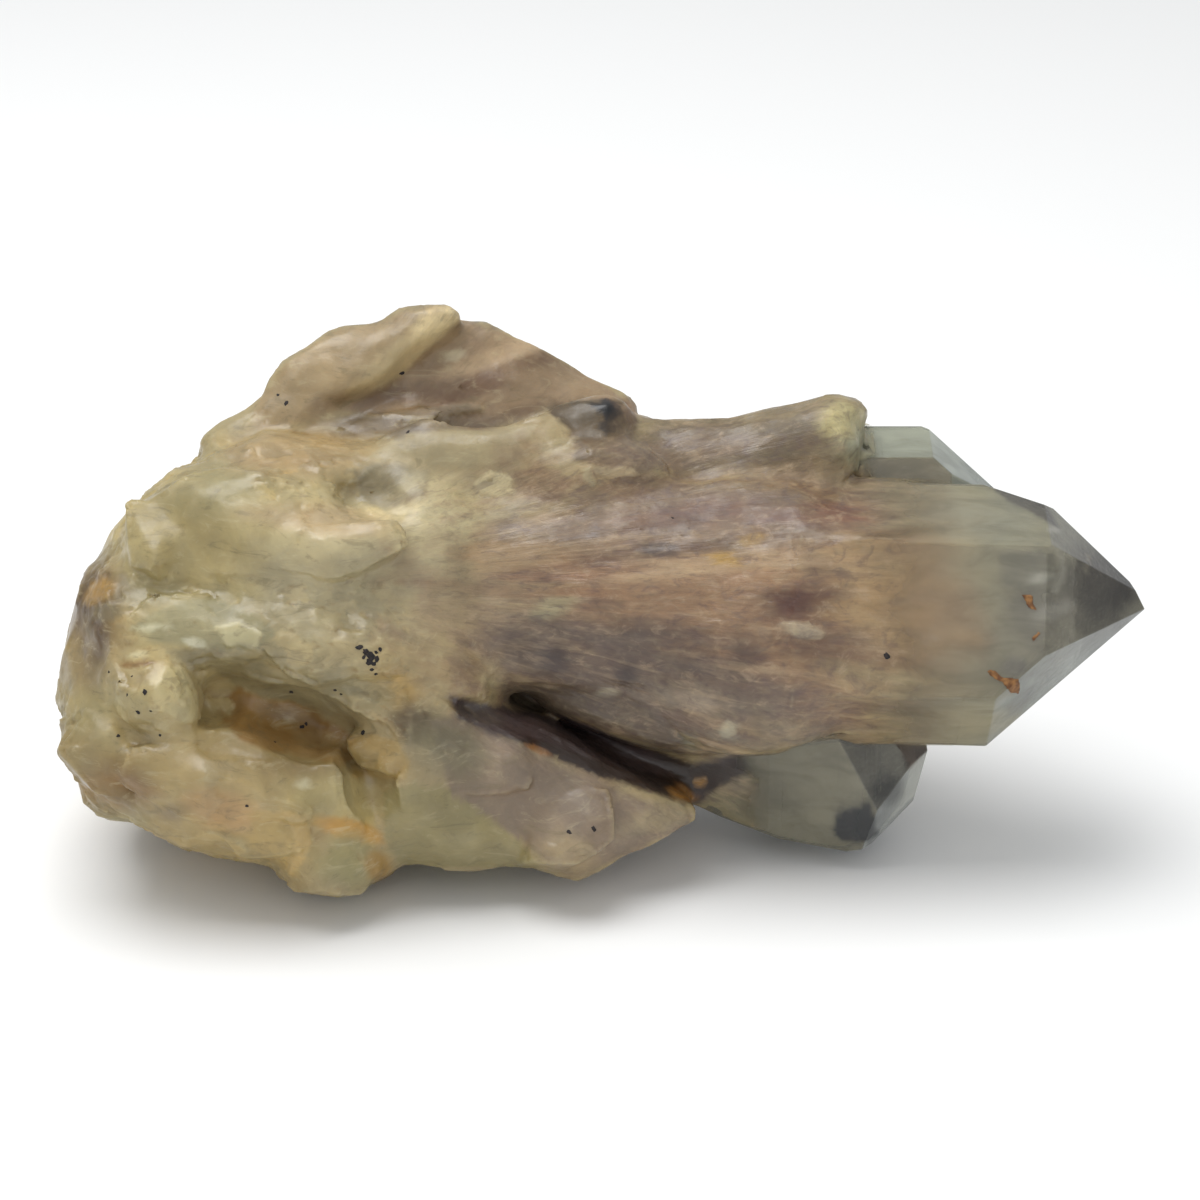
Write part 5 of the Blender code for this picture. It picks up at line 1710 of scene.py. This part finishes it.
    def limit_triangles(self, piece: Piece) -> None:
        """Keep the piece under its share of triangles."""
        triangles = sum(len(face.vertices) - 2 for face in piece.data.polygons)
        LOG.info("cloudy mass carved with %d triangles", triangles)
        if triangles > self.most_triangles:
            thin = piece.modifiers.new("thin", "DECIMATE")
            thin.ratio = self.most_triangles / triangles
            apply_all(piece)

    def blur(self, piece: Piece, corners: np.ndarray, rounds: int) -> np.ndarray:
        """Every vertex's place, averaged again and again with its neighbours'."""
        ends = np.empty(len(piece.data.edges) * 2, np.int32)
        piece.data.edges.foreach_get("vertices", ends)
        first, second = ends.reshape(-1, 2).T
        count = np.bincount(first, minlength=len(corners)) + np.bincount(second, minlength=len(corners))
        blurred = corners.copy()
        for _ in range(rounds):
            total = np.zeros_like(blurred)
            for axis in range(3):
                total[:, axis] += np.bincount(first, weights=blurred[second, axis], minlength=len(corners))
                total[:, axis] += np.bincount(second, weights=blurred[first, axis], minlength=len(corners))
            blurred = 0.5 * blurred + 0.5 * total / np.maximum(count, 1)[:, None]
        return blurred

    def soften(self, piece: Piece) -> None:
        """Ease the solid's lumps and fill its creases, but keep its outline, plates and hollow."""
        corners = mesh_corners(piece.data)
        normals = self.normals(piece)
        shown = self.shown.shown(corners)
        blurred = self.blur(piece, corners, self.ease_rounds)
        filling = self.most_weight(FILL_AREAS, shown)
        wide = self.blur(piece, blurred, self.fill_rounds)
        filling = filling * (np.einsum("ij,ij->i", wide - corners, normals) > 0.0)
        blurred = blurred + (wide - blurred) * filling[:, None]
        filled = np.einsum("ij,ij->i", blurred - corners, normals) > 0.0
        facing = np.abs(self.shown.shown_directions(normals)[:, 2])
        share = 0.25 + 0.6 * smooth_step(0.25, 0.6, facing)
        share = np.where(filled, np.maximum(share, 0.8), share)
        share = np.maximum(share * (1.0 - self.kept_sharp(shown)), filling)
        share = share * smooth_step(0.8, 3.0, corners[:, 2] / MM)
        corners = corners + (blurred - corners) * share[:, None]
        set_corners(piece.data, corners)

    def kept_sharp(self, shown: np.ndarray) -> np.ndarray:
        """Where the solid's own form is kept, from 0 to 1."""
        kept_share = self.most_weight(SHARP_AREAS, shown)
        for gem in self.gems:
            near = smooth_step(1.5, 0.8, gem.outside(shown))
            ahead = smooth_step(gem.skin[1] + 2.0, gem.skin[1] - 2.0, gem.behind(shown))
            kept_share = np.maximum(kept_share, near * ahead)
        return kept_share

    def colour(self, piece: Piece) -> None:
        """Store the stone's zones of colour, its grain, creases, edges and haze on the mesh."""
        mesh = piece.data
        corners = mesh_corners(mesh)
        shown = self.shown.shown(corners)
        grain = self.grain(shown)
        streaky = self.streakiness(shown)
        streaks = streak_noise(grain)
        wobble = ragged_noise(shown) * (1.0 - 0.6 * streaky) + 1.1 * streaky * streaks
        blurred = self.blur(piece, corners, self.crease_reach)
        hollow = np.einsum("ij,ij->i", blurred - corners, self.normals(piece)) / MM
        tint = lay_patches(PATCHES + PALE_FLAKES, plain_tint(len(shown)), shown, wobble)
        tone = kept(mesh, "tone")
        tint = tint * (1.0 + 0.24 * tone)[:, None]
        warmth = np.clip(tone * 1.5, -1.0, 1.0)[:, None] * np.array((0.03, 0.0, -0.05))
        tint = np.clip(tint * (1.0 + warmth), 0.0, 1.0)
        haze = np.ones(len(shown))
        for gem in self.gems:
            over = smooth_step(1.6, 1.0, gem.outside(shown))
            whole = smooth_step(*gem.skin, gem.behind(shown) + 4.0 * streaks)
            haze = haze * (1.0 - over * (1.0 - whole))
        store(mesh, "tint", "FLOAT_COLOR", np.hstack((tint, np.ones((len(shown), 1)))))
        store(mesh, "grain", "FLOAT_VECTOR", grain)
        store(mesh, "streaky", "FLOAT", streaky)
        crease = np.maximum(smooth_step(0.1, 0.4, hollow), 0.7 * kept(mesh, "foot"))
        store(mesh, "crease", "FLOAT", crease * (1.0 - 0.85 * streaky))
        # The ridge mask drives a painted highlight on the ridges and flake lips.
        ridge = smooth_step(0.1, 0.4, -hollow) + 0.7 * kept(mesh, "edge")
        store(mesh, "ridge", "FLOAT", np.clip(ridge, 0.0, 1.0))
        store(mesh, "haze", "FLOAT", haze)


@dataclass
class SurfaceFinder:
    """Finds the place on a piece that shows at a pixel of the photograph.

    Args:
        camera: the photograph's camera.
        piece: the piece that is looked at.
    """

    camera: Camera
    piece: Piece
    tree: BVHTree = field(init=False)

    def __post_init__(self) -> None:
        self.tree = BVHTree.FromObject(self.piece, bpy.context.evaluated_depsgraph_get())

    def find(self, pixel: Pair) -> tuple[Vector, Vector] | None:
        """Place and normal under a pixel, or nothing where the piece isn't."""
        spot, normal, _, _ = self.tree.ray_cast(*self.camera.ray(pixel))
        return None if spot is None else (spot, normal)


@dataclass
class DarkSpecks:
    """Small black grains of another mineral, half sunk in the stone.

    Args:
        finder: looks up each speck's place on the stone.
        pixels: each speck's place in the photograph and its radius in millimetres.
    """

    finder: SurfaceFinder
    pixels: tuple[Triple, ...]

    def build(self, material: Material) -> None:
        """Set every speck on the stone and join them."""
        rng = random.Random(3)
        specks = []
        for across, down, radius in self.pixels:
            found = self.finder.find((across, down))
            if found is None:
                LOG.warning("speck at %d, %d misses the stone", across, down)
                continue
            specks.append(self.speck(*found, radius, rng))
        deselect_all()
        for speck in specks:
            speck.select_set(True)
        bpy.context.view_layer.objects.active = specks[0]
        bpy.ops.object.join()
        piece = bpy.context.active_object
        piece.name = "dark_specks"
        piece.data.name = "dark_specks"
        piece.data.transform(piece.matrix_world)
        piece.matrix_world = Matrix.Identity(4)
        dress(piece, material)

    def speck(self, spot: Vector, normal: Vector, radius: float, rng: random.Random) -> Piece:
        """One flattened, lopsided grain."""
        deselect_all()
        bpy.ops.mesh.primitive_ico_sphere_add(subdivisions=2, radius=1.3 * radius * MM)
        speck = bpy.context.active_object
        for corner in speck.data.vertices:
            corner.co *= 0.6 + 0.6 * rng.random()
        stretch = Vector((0.9 + 0.6 * rng.random(), 0.7 + 0.4 * rng.random(), 0.22))
        speck.data.transform(Matrix.Diagonal(stretch).to_4x4())
        speck.data.transform(Matrix.Rotation(rng.uniform(0.0, math.tau), 4, "Z"))
        facing = normal.to_track_quat("Z", "Y").to_matrix().to_4x4()
        speck.data.transform(Matrix.Translation(spot) @ facing)
        return speck


SPECKS = (
    (359, 647, 0.32), (366, 652, 0.42), (371, 656, 0.5), (376, 653, 0.3), (369, 662, 0.34), (374, 664, 0.26),
    (372, 670, 0.24), (377, 659, 0.3), (364, 657, 0.22), (380, 649, 0.2), (376, 674, 0.2),
    (402, 373, 0.28), (286, 403, 0.24), (278, 395, 0.18), (408, 432, 0.22), (594, 829, 0.3), (569, 832, 0.24),
    (887, 656, 0.3), (138, 712, 0.22), (145, 692, 0.28), (151, 711, 0.16), (118, 736, 0.18), (291, 692, 0.24),
    (335, 690, 0.22), (341, 694, 0.18), (302, 727, 0.3), (306, 724, 0.2), (247, 806, 0.24), (363, 733, 0.26),
    (132, 676, 0.16), (109, 672, 0.16), (275, 742, 0.18), (160, 735, 0.18), (127, 695, 0.14),
    (673, 518, 0.16),
)


@dataclass(frozen=True)
class Sheet:
    """A thin ragged sheet on the stone.

    Args:
        name: the piece's name.
        outline: its corners in pixels of the photograph.
        thickness: how far it stands up, in millimetres.
    """

    name: str
    outline: tuple[Pair, ...]
    thickness: float = 0.12


@dataclass
class SheetLayer:
    """Lays thin ragged sheets, such as flakes and crusts, on a piece.

    Args:
        finder: looks up places on the piece.
        step: spacing of a sheet's mesh in pixels.
        ragged: how many pixels its edge wanders.
    """

    finder: SurfaceFinder
    step: float = 0.9
    ragged: float = 2.2

    def lay(self, sheet: Sheet, material: Material) -> None:
        """Lay a grid over the outline, drop it on the piece and keep what lies inside."""
        corners = np.array(sheet.outline, float)
        low, high = corners.min(axis=0) - 2.0, corners.max(axis=0) + 2.0
        cells = np.maximum(2, ((high - low) / self.step)).astype(int)
        deselect_all()
        bpy.ops.mesh.primitive_grid_add(x_subdivisions=int(cells[0]), y_subdivisions=int(cells[1]), size=2.0)
        piece = bpy.context.active_object
        piece.name = sheet.name
        piece.data.name = sheet.name
        flat = mesh_corners(piece.data)
        spots = low + (high - low) * (flat[:, :2] * (1.0, -1.0) + 1.0) / 2.0
        wobble = ragged_noise(np.hstack((spots * 0.45, np.zeros((len(spots), 1)))))
        shape = Outline(sheet.name, sheet.outline, "", 1.0, edge=2.0, ragged=self.ragged, depth=Depth.THROUGH)
        inside = shape.weight(spots, np.zeros(len(spots)), wobble)
        lost = []
        for index, spot in enumerate(spots):
            found = self.finder.find(tuple(spot))
            if found is None or inside[index] < 0.5:
                lost.append(index)
                continue
            piece.data.vertices[index].co = found[0] + found[1] * 0.02 * MM
        self.keep_inside(piece, lost)
        body = piece.modifiers.new("thickness", "SOLIDIFY")
        body.thickness = sheet.thickness * MM
        body.offset = 1.0
        ease = piece.modifiers.new("ease", "SMOOTH")
        ease.factor = 0.4
        ease.iterations = 2
        apply_all(piece)
        bpy.ops.object.shade_smooth()
        dress(piece, material)

    def keep_inside(self, piece: Piece, lost: list[int]) -> None:
        """Take away the grid's corners that lie outside, and face the rest outwards."""
        body = bmesh.new()
        body.from_mesh(piece.data)
        body.verts.ensure_lookup_table()
        bmesh.ops.delete(body, geom=[body.verts[index] for index in lost], context="VERTS")
        loose = [corner for corner in body.verts if not corner.link_faces]
        bmesh.ops.delete(body, geom=loose, context="VERTS")
        out = self.finder.camera.shown.direction(0.0, 0.0, 1.0)
        body.normal_update()
        facing = sum(face.normal.dot(out) for face in body.faces)
        if facing < 0.0:
            bmesh.ops.reverse_faces(body, faces=body.faces)
        body.to_mesh(piece.data)
        body.free()


RUST_CRUSTS = (
    Sheet("rust_crust_upper", ((1020, 594), (1034, 595), (1033, 603), (1038, 610), (1030, 611), (1025, 601))),
    Sheet("rust_crust_low", ((984, 670), (996, 669), (1004, 677), (1020, 677), (1019, 694), (1011, 692),
        (1001, 682), (990, 677))),
    Sheet("rust_crust_sliver", ((1031, 639), (1039, 631), (1040, 634), (1034, 641))),
)


def mottled_mineral(name: str, dark: str, pale: str, grain: float, roughness: float) -> Material:
    """Material of a small mineral growth, mottled between two colours.

    Args:
        name: the material's name.
        dark: one display colour.
        pale: the other.
        grain: fineness of the mottling.
        roughness: how dull it is.

    Returns:
        The finished material.
    """
    material, bench, shader = new_material(name)
    place = bench.node("ShaderNodeTexCoord").outputs["Object"]
    share = bench.span(bench.noise(place, grain, detail=4.0), 0.35, 0.65)
    bench.link(bench.mix(share, rgba(dark), rgba(pale)), shader.inputs["Base Color"])
    shader.inputs["Roughness"].default_value = roughness
    return material


LOWER_CORNERS = {
    "tip": (43.3, -22.9, 0.0),
    "front top": (35.4, -23.8, 3.5),
    "front low": (38.4, -29.2, 1.5),
    "root": (13.9, -24.0, -2.0),
    "shoulder": (42.0, -20.8, 0.7),
    "crest": (45.7, -20.9, -2.2),
    "foot": (38.2, -33.9, -4.0),
    "sole left": (13.0, -29.3, -3.0),
    "sole middle": (24.0, -33.5, -2.0),
    "sole right": (34.5, -35.2, -2.0),
    "sole back": (30.0, -32.5, -17.0),
    "back low": (30.0, -28.0, -20.0),
    "back top": (40.0, -14.0, -16.0),
    "back root": (10.0, -18.0, -18.0),
    "roof": (40.0, -13.0, -6.0),
    "roof root": (10.0, -12.0, -8.0),
    "heel": (42.0, -26.0, -14.0),
}
LOWER_FACES = (
    ("front top", "front low", "root"),
    ("front top", "front low", "tip"),
    ("front low", "tip", "foot"),
    ("tip", "shoulder", "crest"),
    ("sole left", "sole middle", "sole back"),
    ("sole middle", "sole right", "sole back"),
    ("sole right", "foot", "sole back"),
    ("back low", "back top", "back root"),
    ("sole back", "back low", "back root"),
    ("crest", "heel", "back top"),
    ("foot", "heel", "back low"),
    ("roof", "roof root", "back top"),
)

# Crystals on the back: tip, length, prism faces, drop and turn in degrees.
BACK_CRYSTALS = (
    ((38.0, 2.0, -25.0), 30.0, (8.0, 8.6, 8.0, 7.4, 8.2, 8.6), 4.0, 11.0),
    ((10.0, 23.0, -23.0), 26.0, (6.2, 6.8, 6.4, 6.0, 6.6, 6.4), -12.0, 16.0),
    ((24.0, -13.0, -24.0), 24.0, (5.4, 5.0, 5.2, 5.0, 5.6, 5.2), 12.0, 18.0),
    ((-2.0, 8.0, -35.0), 20.0, (5.0, 5.6, 4.8, 5.2, 5.0, 5.4), -3.0, 30.0),
    ((-32.0, 24.0, -29.0), 18.0, (4.4, 4.8, 4.2, 4.6, 4.4, 4.2), -32.0, 44.0),
)


def main_gem() -> Gem:
    """The big crystal, with the sizes that the solid has."""
    nose = math.radians(61.0)
    shoulder = math.radians(20.0)
    return PrismGem(
        name="main_crystal", tip=MAIN_TIP,
        skin=(25.0, 42.0), heart=(6.0, 24.0), root_tone=(20.0, 36.0), colour="9b9985",
        # The pale bluish-grey faces are painted reflection of the surround; the others are the faces' own
        # tones.
        facet_tones_with_painted_light={
            0: "938e78", 1: "9c9886", 2: "9c987f", 3: "8b897b",
            5: "8f9492", 6: "aba794", 9: "a5a89c", 11: "9da29c",
        },
        length=48.0, faces=(11.6, 12.6, 15.9, 12.6, 17.3, 16.9),
        tip_shift=(0.0, 1.8, 1.8, 1.5, 0.6, 0.3), drop=1.5,
        cuts=(
            FacetCut(MAIN_TIP, (math.sin(nose), math.cos(nose), 0.0)),
            FacetCut((62.0, 12.8, -2.0), (math.sin(shoulder), math.cos(shoulder), 0.0)),
        ),
    )


def rear_gem() -> Gem:
    """The crystal behind the big one."""
    return PrismGem(
        name="rear_crystal", tip=(58.4, 13.3, -9.0),
        skin=(20.0, 23.0), heart=(3.0, 10.0), root_tone=(21.0, 26.0), colour="a3a79a",
        # Faces 2 and 3 are pale bluish grey: painted reflection of the surround.
        facet_tones_with_painted_light={0: "8b8470", 2: "a3a798", 3: "b0b6b0"},
        length=28.0, faces=(7.4, 9.4, 10.2, 7.4, 9.0, 9.0),
    )


def lower_gem() -> Gem:
    """The crystal below the big one."""
    return CornerGem(
        name="lower_crystal", tip=(45.0, -25.0, -7.0),
        skin=(22.0, 28.0), heart=(6.0, 13.0), root_tone=(26.0, 32.0), colour="7e7a6a",
        # Faces 2, 9 and 10 are painted reflection of the surround; face 3, the dark top ledge under the big
        # crystal, is painted shade.
        facet_tones_with_painted_light={0: "8b8775", 1: "75736b", 2: "b0b4b2", 3: "5a4c44", 9: "9ea3a2", 10: "8f9493"},
        heart_spot=(30.0, -24.0, -8.0), size=56.0, corners=LOWER_CORNERS, faces=LOWER_FACES,
        root=FacetCut((11.0, -24.0, -8.0), (-1.0, 0.0, 0.0)),
    )


def back_gem(number: int) -> Gem:
    """One of the crystals on the back."""
    tip, length, faces, drop, turn = BACK_CRYSTALS[number]
    return PrismGem(
        name=f"back_crystal_{number + 1}", tip=tip,
        skin=(0.55 * length, 0.72 * length), heart=(0.2 * length, 0.45 * length),
        # Face 3 is pale bluish grey: painted reflection of the surround.
        root_tone=(0.5 * length, 0.7 * length), colour="9b9886", facet_tones_with_painted_light={0: "938d78", 3: "a6a89f"},
        length=length, faces=faces, drop=drop, turn=turn,
    )


def main() -> None:
    """Build the dressed cluster."""
    logging.basicConfig(level=logging.INFO, format="%(message)s")
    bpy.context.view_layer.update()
    shown = find_shown_frame()
    camera = Camera(shown)
    camera.build()
    Studio().build()
    milky = MilkyFinish().build(grain_group(), streak_group())
    growth = growth_group()
    clear = ClearFinish("clear_smoky_quartz", "b9b59c", 9.0, 0.66).build(growth)
    milk = HeartFinish().build(growth)
    gems = (main_gem(), rear_gem(), lower_gem(), *(back_gem(number) for number in range(len(BACK_CRYSTALS))))
    stone = CloudyBody(shown, gems).build(milky)
    crystals = [gem.build(shown, clear) for gem in gems]
    for gem in gems:
        gem.build_heart(shown, milk)
    black = mottled_mineral("dark_mineral", "120e0e", "2a2221", 2200.0, 0.75)
    DarkSpecks(SurfaceFinder(camera, stone), SPECKS).build(black)
    rust = mottled_mineral("rust", "5f3a1e", "93693c", 1300.0, 0.8)
    on_crystal = SheetLayer(SurfaceFinder(camera, crystals[0]))
    for crust in RUST_CRUSTS:
        on_crystal.lay(crust, rust)


if __name__ == "__main__":
    main()
